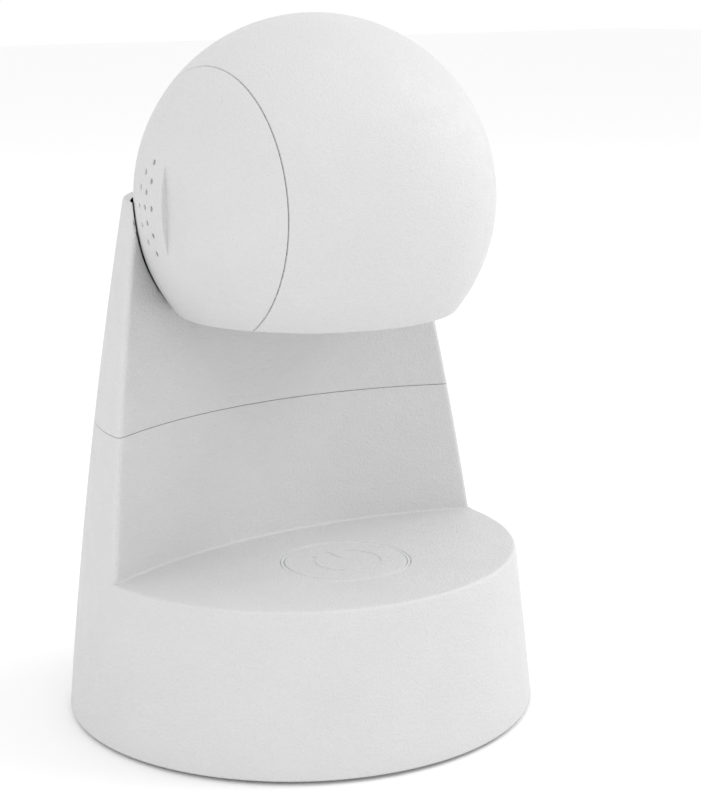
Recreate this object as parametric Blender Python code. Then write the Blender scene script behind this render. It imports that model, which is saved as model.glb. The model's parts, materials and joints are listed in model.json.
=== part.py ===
"""A desk security camera: a ball head that pans in the hollow of a crescent column.

Run it with blender --background --python part.py, or from Blender's text editor.
Sizes are in metres, +Z is up, and the origin is the middle of the footprint.
The base's call button faces -Y and the column stands at +Y. The head is shown
turned a quarter turn from the front, so its lens looks along +X.
"""

import math

import bmesh
import bpy
from mathutils import Matrix, Vector

MM = 0.001

# Outer body: a tapered drum that carries on upwards as a crescent column.
BASE_RADIUS = 45.0 * MM
TAPER = 0.0917
TAPER_GROWTH = 0.471
FOOT_HEIGHT = 0.7 * MM
PLATE_HEIGHT = 30.7 * MM
SEAM_HEIGHT = 56.7 * MM
WALL = 2.0 * MM
SEAM_GAP = 0.3 * MM

# Clearances: around loose pieces, under seated ones, and in turning fits.
FIT = 0.3 * MM
SEAT_GAP = 0.05 * MM
RUNNING = 0.1 * MM

# The column's hollow front face: an arc that leans back as it rises.
FACE_MIDDLE = 7.6 * MM
FACE_DEPTH = 9.6 * MM
FACE_LEAN = 0.098

# Ball head.
HEAD_RADIUS = 33.06 * MM
HEAD_HEIGHT = 98.1 * MM
HEAD_WALL = 2.0 * MM
HEAD_CUT = 20.7 * MM
HEAD_BACK = 4.85 * MM
POCKET_GAP = 0.6 * MM
COVER_SEAM = 22.4 * MM
COVER_LIP = 2.4 * MM
LIP_WALL = 1.2 * MM
CRADLE_WALL = 1.0 * MM

# Flat finger facet and sound holes on the rear cover.
FACET_DEPTH = 1.0 * MM
FACET_EDGE = 1.0 * MM
HOLE_RADIUS = 0.5 * MM
HOLE_RINGS = ((2.8 * MM, 1, 0.0), (5.7 * MM, 5, 28.5), (8.6 * MM, 7, 23.0))

# Loudspeaker, circuit board and antenna in the head.
SPEAKER_RADIUS = 9.6 * MM
SPEAKER_DEPTH = 4.6 * MM
SPEAKER_ROOM = 2.86 * MM
HEAD_BOARD_BACK = 1.8 * MM
HEAD_BOARD_MARGIN = 2.4 * MM
WIFI_WIDTH = 6.0 * MM
ANTENNA_X = -12.0 * MM
ANTENNA_HALF_LENGTH = 9.0 * MM
ANTENNA_HALF_WIDTH = 3.0 * MM
ANTENNA_THICKNESS = 0.6 * MM
ANTENNA_ROOM = 1.4 * MM

# Shelf that carries the head, and the fixed post, gear and cable on it.
SHELF = 2.6 * MM
SHELF_HALF_WIDTH = 9.5 * MM
POST_RADIUS = 4.6 * MM
POST_FLANGE = 3.0 * MM
POST_BORE = 3.2 * MM
CLIP_WIDTH = 1.0 * MM
CLIP_THICKNESS = 0.6 * MM
CABLE_WIDTH = 5.0 * MM
CABLE_LEVEL = 1.1 * MM
CABLE_ROOM = 0.6 * MM
FLOOR = 1.5 * MM
FLOOR_GAP = 0.7 * MM
GEAR_MODULE = 0.5 * MM
GEAR_WIDTH = 2.2 * MM
PAN_TEETH = 26
PINION_TEETH = 12
SHAFT_RADIUS = 0.75 * MM
MOTOR_RADIUS = 7.0 * MM
MOTOR_LENGTH = 10.0 * MM
MOTOR_EAR = 0.8 * MM
EAR_REACH = 4.5 * MM
EAR_HALF_WIDTH = 2.5 * MM
EAR_HOLE = 0.95 * MM
EAR_HOLE_REACH = 2.5 * MM
CABLE_THICKNESS = 0.3 * MM

# Tilting eyeball with the lens, seen through the bezel.
EYE_RADIUS = 17.0 * MM
EYE_WALL = 1.5 * MM
EYE_SETBACK = 0.85 * MM
BEZEL_MARGIN = 0.3 * MM
BEZEL_DEPTH = 2.7 * MM
WINDOW_RADIUS = 10.0 * MM
EYE_GAP = 0.4 * MM
BARREL_RADIUS = 5.2 * MM
LENS_RADIUS = 3.4 * MM
LENS_CURVE = 7.0 * MM
FRAME_DEPTH = 1.8 * MM
ARM_HALF = 4.0 * MM
ARM_WALL = 1.8 * MM
CARRIER_THICKNESS = 2.6 * MM
TILT_TEETH = 40
TILT_LIMIT = math.radians(35)
TILT_GEAR_LOW = 7.6 * MM
PIN_RADIUS = 1.5 * MM
PIN_DEPTH = 4.8 * MM
BOSS_WALL = 1.1 * MM
MICROPHONE_RADIUS = 1.6 * MM
LED_COUNT = 6
LED_RADIUS = 1.2 * MM
LED_ROOM = 1.64 * MM
SENSOR_LOW = 0.6 * MM

# Call button.
BUTTON_RADIUS = 11.5 * MM
BUTTON_FORWARD = 15.3 * MM
BUTTON_TRAVEL = 0.6 * MM
BUTTON_GAP = 0.25 * MM
RING_WIDTH = 0.6 * MM
RING_FLANGE = 2.0 * MM
RING_THICKNESS = 1.2 * MM
CAP_HEIGHT = 5.2 * MM
CAP_WALL = 1.3 * MM
STEM_RADIUS = 1.6 * MM
STEM_LENGTH = 1.0 * MM
SPRING_WIRE = 0.25 * MM
SPRING_RADIUS = 5.6 * MM
SPRING_TURNS = 4
SYMBOL_DEPTH = 0.25 * MM
SYMBOL_RADIUS = 6.2 * MM
SYMBOL_LINE = 1.0 * MM

# Inside the base.
BOARD_THICKNESS = 1.2 * MM
BOARD_Y = -12.0 * MM
BOARD_HALF_Y = 15.0 * MM
BOARD_MARGIN = 4.0 * MM
POST_INSET = 2.5 * MM
BOARD_POST = 2.2 * MM
BOARD_HOLE = 1.3 * MM
SWITCH_SIDE = 6.0 * MM
SWITCH_BODY = 3.4 * MM
SWITCH_HEIGHT = 4.6 * MM
PLUNGER_RADIUS = 1.7 * MM
BALLAST_RADIUS = 14.0 * MM
BALLAST_HEIGHT = 6.0 * MM
USB_WIDTH = 8.9 * MM
USB_HEIGHT = 3.2 * MM
USB_LENGTH = 7.3 * MM
USB_SHEET = 0.35 * MM
USB_LEVEL = 9.0 * MM
PORT_MARGIN = 1.8 * MM
POWER_BOARD_LENGTH = 15.0 * MM
POWER_BOARD_HALF = 9.0 * MM
BOSS_RADIUS = 3.0 * MM
BOSS_ROOM = 2.0 * MM
SCREW_RADIUS = 1.2 * MM
SCREW_HEAD = 2.0 * MM
SCREW_HEAD_HEIGHT = 1.0 * MM
SCREW_DEPTH = 9.0 * MM
SCREW_SINK = 1.1 * MM
SCREW_TIP_ROOM = 3.2 * MM
PILOT_SLACK = 0.05 * MM
THREAD_SLACK = 0.15 * MM
FOOT_RADIUS = 4.4 * MM
FOOT_THICKNESS = 1.3 * MM
FOOT_SUNK = 0.8 * MM
FOOT_INSET = 7.0 * MM
VENT_WIDTH = 1.6 * MM
VENT_PITCH = 4.0 * MM
VENT_HALF_LENGTH = 13.0 * MM

# Corners of a cut nearer together than this are one corner.
WELD = 0.004 * MM

ROUND = 48
SMALL_ROUND = 16

AXIS_TURN = {
    "X": Matrix.Rotation(math.pi / 2, 4, "Y"),
    "Y": Matrix.Rotation(-math.pi / 2, 4, "X"),
    "Z": Matrix.Identity(4),
}


def outer_radius(height):
    """Radius of the drum and column's outer skin at a height."""
    return BASE_RADIUS - TAPER * height - TAPER_GROWTH * height * height


def face_arc(height, setback=0.0):
    """Middle y and radius of the column's hollow face at a height.

    setback moves the face back, into the column, to leave a wall.
    """
    lean = FACE_LEAN * (height - PLATE_HEIGHT)
    middle = FACE_MIDDLE + lean
    tip = middle - FACE_DEPTH
    half_chord = math.sqrt(outer_radius(height) ** 2 - tip**2)
    radius = (half_chord**2 + FACE_DEPTH**2) / (2 * FACE_DEPTH)
    return middle + setback, radius + setback


def mesh_distance(wheel_teeth):
    """Distance between the axes of a wheel and its pinion."""
    return (wheel_teeth + PINION_TEETH) * GEAR_MODULE / 2 + SEAT_GAP


# Places and sizes that follow from the driving ones.
POCKET_RADIUS = HEAD_RADIUS + POCKET_GAP
HEAD_Y = outer_radius(HEAD_HEIGHT) - HEAD_BACK - POCKET_RADIUS
HEAD = Vector((0.0, HEAD_Y, HEAD_HEIGHT))
HEAD_INSIDE = HEAD_RADIUS - HEAD_WALL
SPEAKER_FRONT = HEAD_INSIDE - SPEAKER_ROOM
EYE_X = HEAD_RADIUS - EYE_SETBACK - EYE_RADIUS
EYE = HEAD + Vector((EYE_X, 0.0, 0.0))

SHELF_TOP = HEAD_HEIGHT - HEAD_CUT - POCKET_GAP
SHELF_BOTTOM = SHELF_TOP - SHELF
PLATE_TOP = FOOT_HEIGHT + WALL
WEB_TOP = SEAM_HEIGHT - SEAM_GAP / 2
UPPER_LOW = SEAM_HEIGHT + SEAM_GAP / 2
USB_MOUTH = outer_radius(USB_LEVEL) - WALL - FIT
CABLE_Y = (face_arc(SEAM_HEIGHT)[0] + outer_radius(SEAM_HEIGHT)) / 2

BUTTON = Vector((0.0, -BUTTON_FORWARD, PLATE_HEIGHT))
RING_INNER = BUTTON_RADIUS + BUTTON_GAP
RING_OUTER = RING_INNER + RING_WIDTH
BUTTON_HOLE = RING_OUTER + BUTTON_GAP
CAP_BOTTOM = PLATE_HEIGHT - CAP_HEIGHT
STEM_BOTTOM = CAP_BOTTOM - STEM_LENGTH
BOARD_TOP = STEM_BOTTOM - BUTTON_TRAVEL - RUNNING - SWITCH_HEIGHT
BOARD_LOW = BOARD_TOP - BOARD_THICKNESS
BOARD_REACH = outer_radius(BOARD_TOP) - WALL - BOARD_MARGIN
BOARD_HALF_X = math.sqrt(BOARD_REACH**2 - (abs(BOARD_Y) + BOARD_HALF_Y) ** 2)
BOSS_TOP = BOARD_LOW - BOSS_ROOM
PILOT_TOP = BOSS_TOP - BOSS_ROOM

ADDENDUM = 0.9 * GEAR_MODULE
DEDENDUM = 1.15 * GEAR_MODULE
MESH_SLACK = 0.1 * MM
FLOOR_TOP = HEAD_HEIGHT - HEAD_CUT + FLOOR
FLOOR_RADIUS = math.sqrt(HEAD_INSIDE**2 - HEAD_CUT**2) - FLOOR_GAP
GEAR_LOW = FLOOR_TOP + 0.5 * MM
GEAR_TOP = GEAR_LOW + GEAR_WIDTH
POST_TOP = GEAR_TOP + CLIP_THICKNESS + 0.7 * MM
PAN_PINION = HEAD + Vector((-mesh_distance(PAN_TEETH), 0, 0))
MOTOR_LOW = POST_TOP + 0.4 * MM

BEZEL_RADIUS = EYE_RADIUS + BEZEL_MARGIN
BEZEL_FRONT = math.sqrt(HEAD_RADIUS**2 - BEZEL_RADIUS**2) - 0.25 * MM
BEZEL_INNER_X = BEZEL_FRONT - BEZEL_DEPTH
BEZEL_BACK = BEZEL_INNER_X - 1.8 * MM
FLANGE_FRONT = BEZEL_BACK + 0.6 * MM
FLANGE_BACK = BEZEL_BACK - 0.5 * MM
FRAME_FRONT = FLANGE_BACK - RUNNING
FRAME_BACK = FRAME_FRONT - FRAME_DEPTH
ARM_INSIDE = EYE_RADIUS + 2 * FIT
CARRIER_FRONT = -EYE_GAP
TILT_GEAR_HIGH = TILT_GEAR_LOW + GEAR_WIDTH
TILT_PINION = EYE + Vector((-mesh_distance(TILT_TEETH), 0, 0))


# ---------------------------------------------------------------- shape tools


def new_object(name, bm):
    """Makes an object from a bmesh whose faces are turned outwards."""
    bmesh.ops.recalc_face_normals(bm, faces=bm.faces)
    mesh = bpy.data.meshes.new(name)
    bm.to_mesh(mesh)
    bm.free()
    thing = bpy.data.objects.new(name, mesh)
    bpy.context.scene.collection.objects.link(thing)
    return thing


def turned(name, profile, axis="Z", centre=(0, 0, 0), segments=ROUND):
    """Spins a closed profile of (radius, height) points about an axis."""
    bm = bmesh.new()
    rim = [bm.verts.new((radius, 0, height)) for radius, height in profile]
    edges = [bm.edges.new((rim[i - 1], rim[i])) for i in range(len(rim))]
    bmesh.ops.spin(
        bm,
        geom=rim + edges,
        cent=(0, 0, 0),
        axis=(0, 0, 1),
        angle=2 * math.pi,
        steps=segments,
        use_merge=True,
    )
    bmesh.ops.remove_doubles(bm, verts=bm.verts, dist=0.001 * MM)
    bmesh.ops.dissolve_degenerate(bm, edges=bm.edges, dist=0.001 * MM)
    loose = [edge for edge in bm.edges if not edge.link_faces]
    bmesh.ops.delete(bm, geom=loose, context="EDGES")
    place = Matrix.Translation(centre) @ AXIS_TURN[axis]
    bmesh.ops.transform(bm, matrix=place, verts=bm.verts)
    return new_object(name, bm)


def drum(name, radius, low, high, axis="Z", centre=(0, 0, 0), segments=SMALL_ROUND):
    """A plain cylinder from low to high along an axis."""
    profile = [(0, low), (radius, low), (radius, high), (0, high)]
    return turned(name, profile, axis, centre, segments)


def tube(name, inner, outer, low, high, axis="Z", centre=(0, 0, 0), segments=SMALL_ROUND):
    """A plain ring from low to high along an axis."""
    profile = [(inner, low), (outer, low), (outer, high), (inner, high)]
    return turned(name, profile, axis, centre, segments)


def block(name, low, high):
    """A box between two corners."""
    low, high = Vector(low), Vector(high)
    bm = bmesh.new()
    bmesh.ops.create_cube(bm, size=1.0)
    place = Matrix.Translation((low + high) / 2) @ Matrix.Diagonal((*(high - low), 1))
    bmesh.ops.transform(bm, matrix=place, verts=bm.verts)
    return new_object(name, bm)


def prism(name, outline, low, high, axis="Z", centre=(0, 0, 0)):
    """Raises a closed outline of (x, y) points into a prism along an axis."""
    bm = bmesh.new()
    face = bm.faces.new([bm.verts.new((x, y, low)) for x, y in outline])
    raised = bmesh.ops.extrude_face_region(bm, geom=[face])["geom"]
    tops = [item for item in raised if isinstance(item, bmesh.types.BMVert)]
    bmesh.ops.translate(bm, verts=tops, vec=(0, 0, high - low))
    place = Matrix.Translation(centre) @ AXIS_TURN[axis]
    bmesh.ops.transform(bm, matrix=place, verts=bm.verts)
    return new_object(name, bm)


def arc(radius, start, stop, steps, height=0.0):
    """Points (radius, height) on a sphere's outline, angles from its pole."""
    points = []
    for i in range(steps + 1):
        angle = start + (stop - start) * i / steps
        points.append((radius * math.sin(angle), height + radius * math.cos(angle)))
    return points


def ball(name, radius, centre, steps=16):
    """A closed sphere made of flat faces."""
    return turned(name, arc(radius, 0, math.pi, steps), "Z", centre)


def combine(target, tool, operation="DIFFERENCE"):
    """Cuts the tool from the target, or joins it on, and removes the tool."""
    modifier = target.modifiers.new(operation, "BOOLEAN")
    modifier.operation = operation
    modifier.solver = "EXACT"
    modifier.object = tool
    bpy.context.view_layer.update()
    graph = bpy.context.evaluated_depsgraph_get()
    mesh = bpy.data.meshes.new_from_object(target.evaluated_get(graph))
    bm = bmesh.new()
    bm.from_mesh(mesh)
    bmesh.ops.remove_doubles(bm, verts=bm.verts, dist=WELD)
    bmesh.ops.dissolve_degenerate(bm, edges=bm.edges, dist=WELD)
    bm.to_mesh(mesh)
    bm.free()
    target.modifiers.clear()
    target.data = mesh
    bpy.data.objects.remove(tool)
    return target


def cut(target, *tools):
    """Cuts each tool from the target."""
    for tool in tools:
        combine(target, tool)
    return target


def join(target, *tools):
    """Joins each tool to the target as one body."""
    for tool in tools:
        combine(target, tool, "UNION")
    return target


# ------------------------------------------------------------------ materials


def material(name, colour, roughness, metallic=0.0):
    """A Principled material with one colour."""
    made = bpy.data.materials.new(name)
    made.use_nodes = True
    shader = made.node_tree.nodes["Principled BSDF"]
    shader.inputs["Base Color"].default_value = (*colour, 1.0)
    shader.inputs["Roughness"].default_value = roughness
    shader.inputs["Metallic"].default_value = metallic
    made.diffuse_color = (*colour, 1.0)
    return made


FINISHES = {
    "white_plastic": ((0.83, 0.83, 0.83), 0.5, 0.0),
    "light_guide": ((0.78, 0.79, 0.8), 0.35, 0.0),
    "black_plastic": ((0.02, 0.02, 0.02), 0.4, 0.0),
    "black_acrylic": ((0.008, 0.008, 0.01), 0.06, 0.0),
    "grey_plastic": ((0.3, 0.3, 0.31), 0.5, 0.0),
    "acetal": ((0.75, 0.74, 0.7), 0.4, 0.0),
    "rubber": ((0.05, 0.05, 0.05), 0.8, 0.0),
    "steel": ((0.6, 0.6, 0.6), 0.3, 1.0),
    "zinc_plate": ((0.5, 0.5, 0.5), 0.4, 1.0),
    "circuit_board": ((0.02, 0.12, 0.05), 0.5, 0.0),
    "lens_glass": ((0.04, 0.03, 0.08), 0.03, 0.0),
    "led_epoxy": ((0.1, 0.08, 0.12), 0.1, 0.0),
    "flex_film": ((0.55, 0.3, 0.06), 0.4, 0.0),
}
MATERIALS = {}


def finish(thing, kind, parent=None, smooth=30.0):
    """Gives a piece its material, its smooth shading and its parent."""
    if kind not in MATERIALS:
        MATERIALS[kind] = material(kind, *FINISHES[kind])
    thing.data.materials.clear()
    thing.data.materials.append(MATERIALS[kind])
    thing.data.shade_smooth()
    thing.data.set_sharp_from_angle(angle=math.radians(smooth))
    if parent:
        thing.parent = parent
        thing.matrix_parent_inverse = Matrix.Translation(-parent.location)
    return thing


def pivot(name, place):
    """An empty on a joint's axis."""
    marker = bpy.data.objects.new(name, None)
    marker.location = place
    marker.empty_display_size = 5 * MM
    bpy.context.scene.collection.objects.link(marker)
    return marker


# ---------------------------------------------------------------- drum, column


def face_cutter(name, low, high, setback=0.0, rings=4, steps=14):
    """Everything in front of the column's face, from low to high."""
    reach = 2 * BASE_RADIUS
    bm = bmesh.new()
    loops = []
    for i in range(rings + 1):
        height = low + (high - low) * i / rings
        middle, radius = face_arc(min(height, HEAD_HEIGHT), setback)
        spread = math.asin(min(1.0, 1.06 * outer_radius(min(height, HEAD_HEIGHT)) / radius))
        points = []
        for j in range(steps + 1):
            angle = spread * (1 - 2 * j / steps)
            points.append((radius * math.sin(angle), middle - radius * (1 - math.cos(angle))))
        points = [(points[0][0], -reach), *points, (points[-1][0], -reach)]
        verts = [bm.verts.new((x, y, height)) for x, y in points]
        loops.append([bm.edges.new((verts[k - 1], verts[k])) for k in range(len(verts))])
    for under, over in zip(loops, loops[1:]):
        bmesh.ops.bridge_loops(bm, edges=under + over)
    bmesh.ops.holes_fill(bm, edges=bm.edges, sides=0)
    bmesh.ops.triangulate(bm, faces=bm.faces)
    return new_object(name, bm)


def skin_profile(low, high, inset=0.0, steps=5):
    """A solid turned body's profile that follows the outer skin."""
    points = [(0, low)]
    for i in range(steps + 1):
        height = low + (high - low) * i / steps
        points.append((outer_radius(height) - inset, height))
    return [*points, (0, high)]


def boss_places():
    """Middles of the four bosses that the bottom plate's screws go into."""
    reach = outer_radius(FOOT_HEIGHT) - WALL - SCREW_HEAD - 2 * FIT
    for i in range(4):
        angle = math.radians(45 + 90 * i)
        yield i + 1, Vector((reach * math.cos(angle), reach * math.sin(angle), 0))


def column_screw_places():
    """Middles of the two screws that hold the upper column down."""
    for side, name in ((-1, "left"), (1, "right")):
        x = side * 0.47 * outer_radius(SEAM_HEIGHT)
        middle, radius = face_arc(SEAM_HEIGHT)
        front = middle - radius + math.sqrt(radius**2 - x**2)
        back = math.sqrt(outer_radius(SEAM_HEIGHT) ** 2 - x**2)
        yield name, Vector((x, 0.55 * front + 0.45 * back, 0))


def make_base_housing():
    """Drum, top plate and lower half of the column in one moulding."""
    body = turned("base_housing", skin_profile(FOOT_HEIGHT, WEB_TOP))
    cut(body, face_cutter("front", PLATE_HEIGHT, SEAM_HEIGHT + WALL))
    room = turned("room", skin_profile(-WALL, WEB_TOP - WALL, WALL))
    cut(room, face_cutter("front", PLATE_HEIGHT - WALL, SEAM_HEIGHT, WALL))
    for _, place in boss_places():
        cut(room, drum("boss", BOSS_RADIUS, PLATE_TOP + FIT, BOSS_TOP, centre=place))
    cut(body, room)
    for _, place in boss_places():
        cut(body, drum("pilot", SCREW_RADIUS + PILOT_SLACK, 0, PILOT_TOP, centre=place))
    web = (WEB_TOP - 2 * WALL, WEB_TOP + WALL)
    for _, place in column_screw_places():
        cut(body, drum("way", SCREW_RADIUS + FIT, *web, centre=place))
    cut(body, drum("cable_way", CABLE_WIDTH, *web, centre=(0, CABLE_Y, 0)))
    cut(body, drum("button_way", BUTTON_HOLE, PLATE_HEIGHT - 3 * WALL, PLATE_HEIGHT + WALL,
                   centre=(BUTTON.x, BUTTON.y, 0), segments=32))
    half, tall = USB_WIDTH / 2 + PORT_MARGIN, USB_HEIGHT / 2 + PORT_MARGIN
    cut(body, block("port", (-half, USB_MOUTH - WALL, USB_LEVEL - tall),
                    (half, USB_MOUTH + 4 * WALL, USB_LEVEL + tall)))
    return finish(body, "white_plastic")


def make_upper_column():
    """Upper half of the column: two wings, the head's pocket and its shelf."""
    low, top, bottom = UPPER_LOW, HEAD_HEIGHT, SHELF_BOTTOM
    body = turned("upper_column", skin_profile(low, top))
    cut(body, face_cutter("front", low - WALL, top + WALL))
    back = face_arc(SHELF_TOP)[0] + WALL
    front = [(x, HEAD_Y + y) for x, y in arc(SHELF_HALF_WIDTH, -math.pi / 2, -1.5 * math.pi, 14)]
    outline = [*front, (SHELF_HALF_WIDTH, back), (-SHELF_HALF_WIDTH, back)]
    join(body, prism("tongue", outline, bottom, SHELF_TOP))
    pocket = ball("pocket", POCKET_RADIUS, HEAD)
    wide = 2 * POCKET_RADIUS
    cut(pocket, block("under", (-wide, -wide, 0), (wide, wide, SHELF_TOP)))
    cut(body, pocket)
    room = turned("room", skin_profile(low - WALL, top - 2 * WALL, WALL))
    cut(room, face_cutter("front", low - 2 * WALL, top, WALL))
    cut(room, ball("around", POCKET_RADIUS + WALL, HEAD))
    reach = math.sqrt(POCKET_RADIUS**2 - (HEAD_HEIGHT - SHELF_TOP) ** 2)
    cut(room, drum("floor", reach + WALL, bottom, SHELF_TOP + 2 * WALL, centre=(0, HEAD_Y, 0)))
    for _, place in column_screw_places():
        cut(room, drum("boss", BOSS_RADIUS, low - 2 * WALL, top, centre=place))
    cut(body, room)
    for _, place in column_screw_places():
        cut(body, drum("pilot", SCREW_RADIUS + PILOT_SLACK, low - WALL, low + SCREW_DEPTH, centre=place))
    half = CABLE_WIDTH / 2 + FIT
    floor, roof = bottom + CABLE_LEVEL - CABLE_ROOM, bottom + CABLE_LEVEL + CABLE_ROOM
    cut(body, block("tunnel", (-half, HEAD_Y, floor), (half, CABLE_Y, roof)))
    cut(body, block("shaft", (-half, CABLE_Y - WALL, low - WALL), (half, CABLE_Y + WALL, roof)))
    cut(body, drum("bore", POST_BORE, floor, SHELF_TOP + WALL, centre=(0, HEAD_Y, 0)))
    return finish(body, "white_plastic")


def foot_places():
    """Middles of the four rubber feet."""
    reach = outer_radius(FOOT_HEIGHT) - WALL - FOOT_INSET
    for i in range(4):
        angle = math.radians(90 * i)
        yield i + 1, Vector((reach * math.cos(angle), reach * math.sin(angle), 0))


def board_posts():
    """Middles of the four posts under the base board."""
    for x in (-1, 1):
        for y in (-1, 1):
            yield Vector((x * (BOARD_HALF_X - POST_INSET), BOARD_Y + y * (BOARD_HALF_Y - POST_INSET), 0))


def make_bottom_plate():
    """Round closing plate with vents, foot recesses and board posts."""
    radius = outer_radius(FOOT_HEIGHT + WALL) - WALL - FIT
    plate = drum("bottom_plate", radius, FOOT_HEIGHT, PLATE_TOP, segments=ROUND)
    for place in board_posts():
        join(plate, drum("post", BOARD_POST, PLATE_TOP - WALL / 4, BOARD_LOW - SEAT_GAP, centre=place))
    for _, place in foot_places():
        cut(plate, drum("recess", FOOT_RADIUS + FIT, 0, FOOT_HEIGHT + FOOT_SUNK, centre=place))
    for _, place in boss_places():
        cut(plate, drum("way", SCREW_RADIUS + FIT, 0, 2 * PLATE_TOP, centre=place))
        cut(plate, drum("sink", SCREW_HEAD + FIT, 0, FOOT_HEIGHT + SCREW_SINK + RUNNING, centre=place))
    for i in range(-3, 4):
        half, y = VENT_HALF_LENGTH - abs(i) * MM, i * VENT_PITCH
        cut(plate, block("vent", (-half, y - VENT_WIDTH / 2, 0), (half, y + VENT_WIDTH / 2, 2 * PLATE_TOP)))
    return finish(plate, "white_plastic")


def make_feet():
    """Four round rubber feet with a chamfered lower edge."""
    edge = 0.35 * MM
    profile = [
        (0, 0),
        (FOOT_RADIUS - edge, 0),
        (FOOT_RADIUS, edge),
        (FOOT_RADIUS, FOOT_THICKNESS),
        (0, FOOT_THICKNESS),
    ]
    for number, place in foot_places():
        finish(turned(f"foot_{number}", profile, centre=place, segments=SMALL_ROUND), "rubber")


def make_screw(name, place, seat, tip):
    """A pan-head screw driven upwards, its head's bearing face at height seat."""
    low, core = seat - SCREW_HEAD_HEIGHT, SCREW_RADIUS - THREAD_SLACK
    profile = [
        (0, low),
        (0.8 * SCREW_HEAD, low),
        (SCREW_HEAD, low + 0.4 * SCREW_HEAD_HEIGHT),
        (SCREW_HEAD, seat),
        (core, seat),
        (core, tip),
        (0, tip),
    ]
    screw = turned(name, profile, centre=place, segments=12)
    long, short, deep = 0.6 * SCREW_HEAD, 0.12 * SCREW_HEAD, 0.4 * SCREW_HEAD_HEIGHT
    for half_x, half_y in ((long, short), (short, long)):
        slot = block("slot", (-half_x, -half_y, -deep), (half_x, half_y, deep))
        slot.data.transform(Matrix.Translation((place.x, place.y, low)))
        cut(screw, slot)
    return finish(screw, "steel")


def make_base_screws():
    """Four screws up through the bottom plate, and two up through the column's web."""
    for number, place in boss_places():
        make_screw(f"base_screw_{number}", place, FOOT_HEIGHT + SCREW_SINK, PILOT_TOP - SCREW_TIP_ROOM)
    for name, place in column_screw_places():
        tip = UPPER_LOW + SCREW_DEPTH - BOSS_ROOM
        make_screw(f"column_screw_{name}", place, WEB_TOP - WALL - RUNNING, tip)


def make_ballast():
    """A steel disc under the board that keeps the camera from tipping."""
    low = PLATE_TOP + FIT
    high = low + BALLAST_HEIGHT
    weight = drum("ballast_weight", BALLAST_RADIUS, low, high, centre=(0, BOARD_Y, 0), segments=28)
    for side in (-1, 1):
        place = (side * (BALLAST_RADIUS - 2 * SCREW_HEAD), BOARD_Y, 0)
        cut(weight, drum("hole", SCREW_RADIUS + FIT, 0, 2 * high, centre=place))
    return finish(weight, "zinc_plate")


def make_base_board():
    """Main circuit board in the base, with its components."""
    low = (-BOARD_HALF_X, BOARD_Y - BOARD_HALF_Y, BOARD_LOW)
    high = (BOARD_HALF_X, BOARD_Y + BOARD_HALF_Y, BOARD_TOP)
    board = block("base_board", low, high)
    for place in board_posts():
        cut(board, drum("hole", BOARD_HOLE, 0, 2 * BOARD_TOP, centre=place))
    edge, row = BOARD_HALF_X - 3 * BOARD_POST, BOARD_Y + SPRING_RADIUS + SCREW_HEAD
    for corner, width, depth, tall in ((-1, 10 * MM, 7 * MM, 1.6 * MM), (1, 7 * MM, 6 * MM, 3 * MM)):
        x_low, x_high = sorted((corner * edge, corner * (edge - width)))
        join(board, block("chip", (x_low, row - depth, BOARD_TOP - SEAT_GAP), (x_high, row, BOARD_TOP + tall)))
    return finish(board, "circuit_board")


def make_button_switch():
    """Tactile switch under the call button's stem."""
    half = Vector((SWITCH_SIDE / 2, SWITCH_SIDE / 2, 0))
    low = Vector((BUTTON.x, BUTTON.y, BOARD_TOP + SEAT_GAP))
    high = low + Vector((0, 0, SWITCH_BODY))
    body = block("button_switch", low - half, high + half)
    join(body, drum("plunger", PLUNGER_RADIUS, high.z - MM, BOARD_TOP + SWITCH_HEIGHT,
                    centre=(BUTTON.x, BUTTON.y, 0)))
    return finish(body, "black_plastic")


def slot_outline(half_width, half_height, steps=6):
    """A slot with round ends, as (x, y) points about its middle."""
    flat = half_width - half_height
    points = []
    for side in (1, -1):
        for i in range(steps + 1):
            angle = math.pi / 2 - math.pi * i / steps
            points.append((side * (flat + half_height * math.cos(angle)), side * half_height * math.sin(angle)))
    return points


def make_power_inlet():
    """Small board with the USB power socket, whose mouth is in the back wall."""
    top = USB_LEVEL - USB_HEIGHT / 2 - SEAT_GAP
    back, front = USB_MOUTH - MM, USB_MOUTH - MM - POWER_BOARD_LENGTH
    board = block("power_board", (-POWER_BOARD_HALF, front, top - BOARD_THICKNESS),
                  (POWER_BOARD_HALF, back, top))
    for side in (-1, 1):
        place = (side * (POWER_BOARD_HALF - POST_INSET), front + POST_INSET, 0)
        cut(board, drum("hole", BOARD_HOLE, 0, 2 * top, centre=place))
    finish(board, "circuit_board")
    half, tall = USB_WIDTH / 2, USB_HEIGHT / 2
    level = (0, 0, USB_LEVEL)
    shell = prism("usb_socket", slot_outline(half, tall), USB_MOUTH - USB_LENGTH, USB_MOUTH, "Y", level)
    mouth = slot_outline(half - USB_SHEET, tall - USB_SHEET)
    cut(shell, prism("hollow", mouth, USB_MOUTH - USB_LENGTH + 2 * USB_SHEET, USB_MOUTH + MM, "Y", level))
    half, tall = half - 3 * USB_SHEET, USB_SHEET
    blade = block("blade", (-half, USB_MOUTH - USB_LENGTH + USB_SHEET, USB_LEVEL - tall),
                  (half, USB_MOUTH - 3 * USB_SHEET, USB_LEVEL + tall))
    join(shell, blade)
    return finish(shell, "steel")


# --------------------------------------------------------------- call button


def ring_sector(inner, outer, start, stop, steps):
    """Outline of part of a ring, angles in radians."""
    sweep = [start + (stop - start) * i / steps for i in range(steps + 1)]
    outside = [(outer * math.cos(a), outer * math.sin(a)) for a in sweep]
    inside = [(inner * math.cos(a), inner * math.sin(a)) for a in reversed(sweep)]
    return outside + inside


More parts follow.
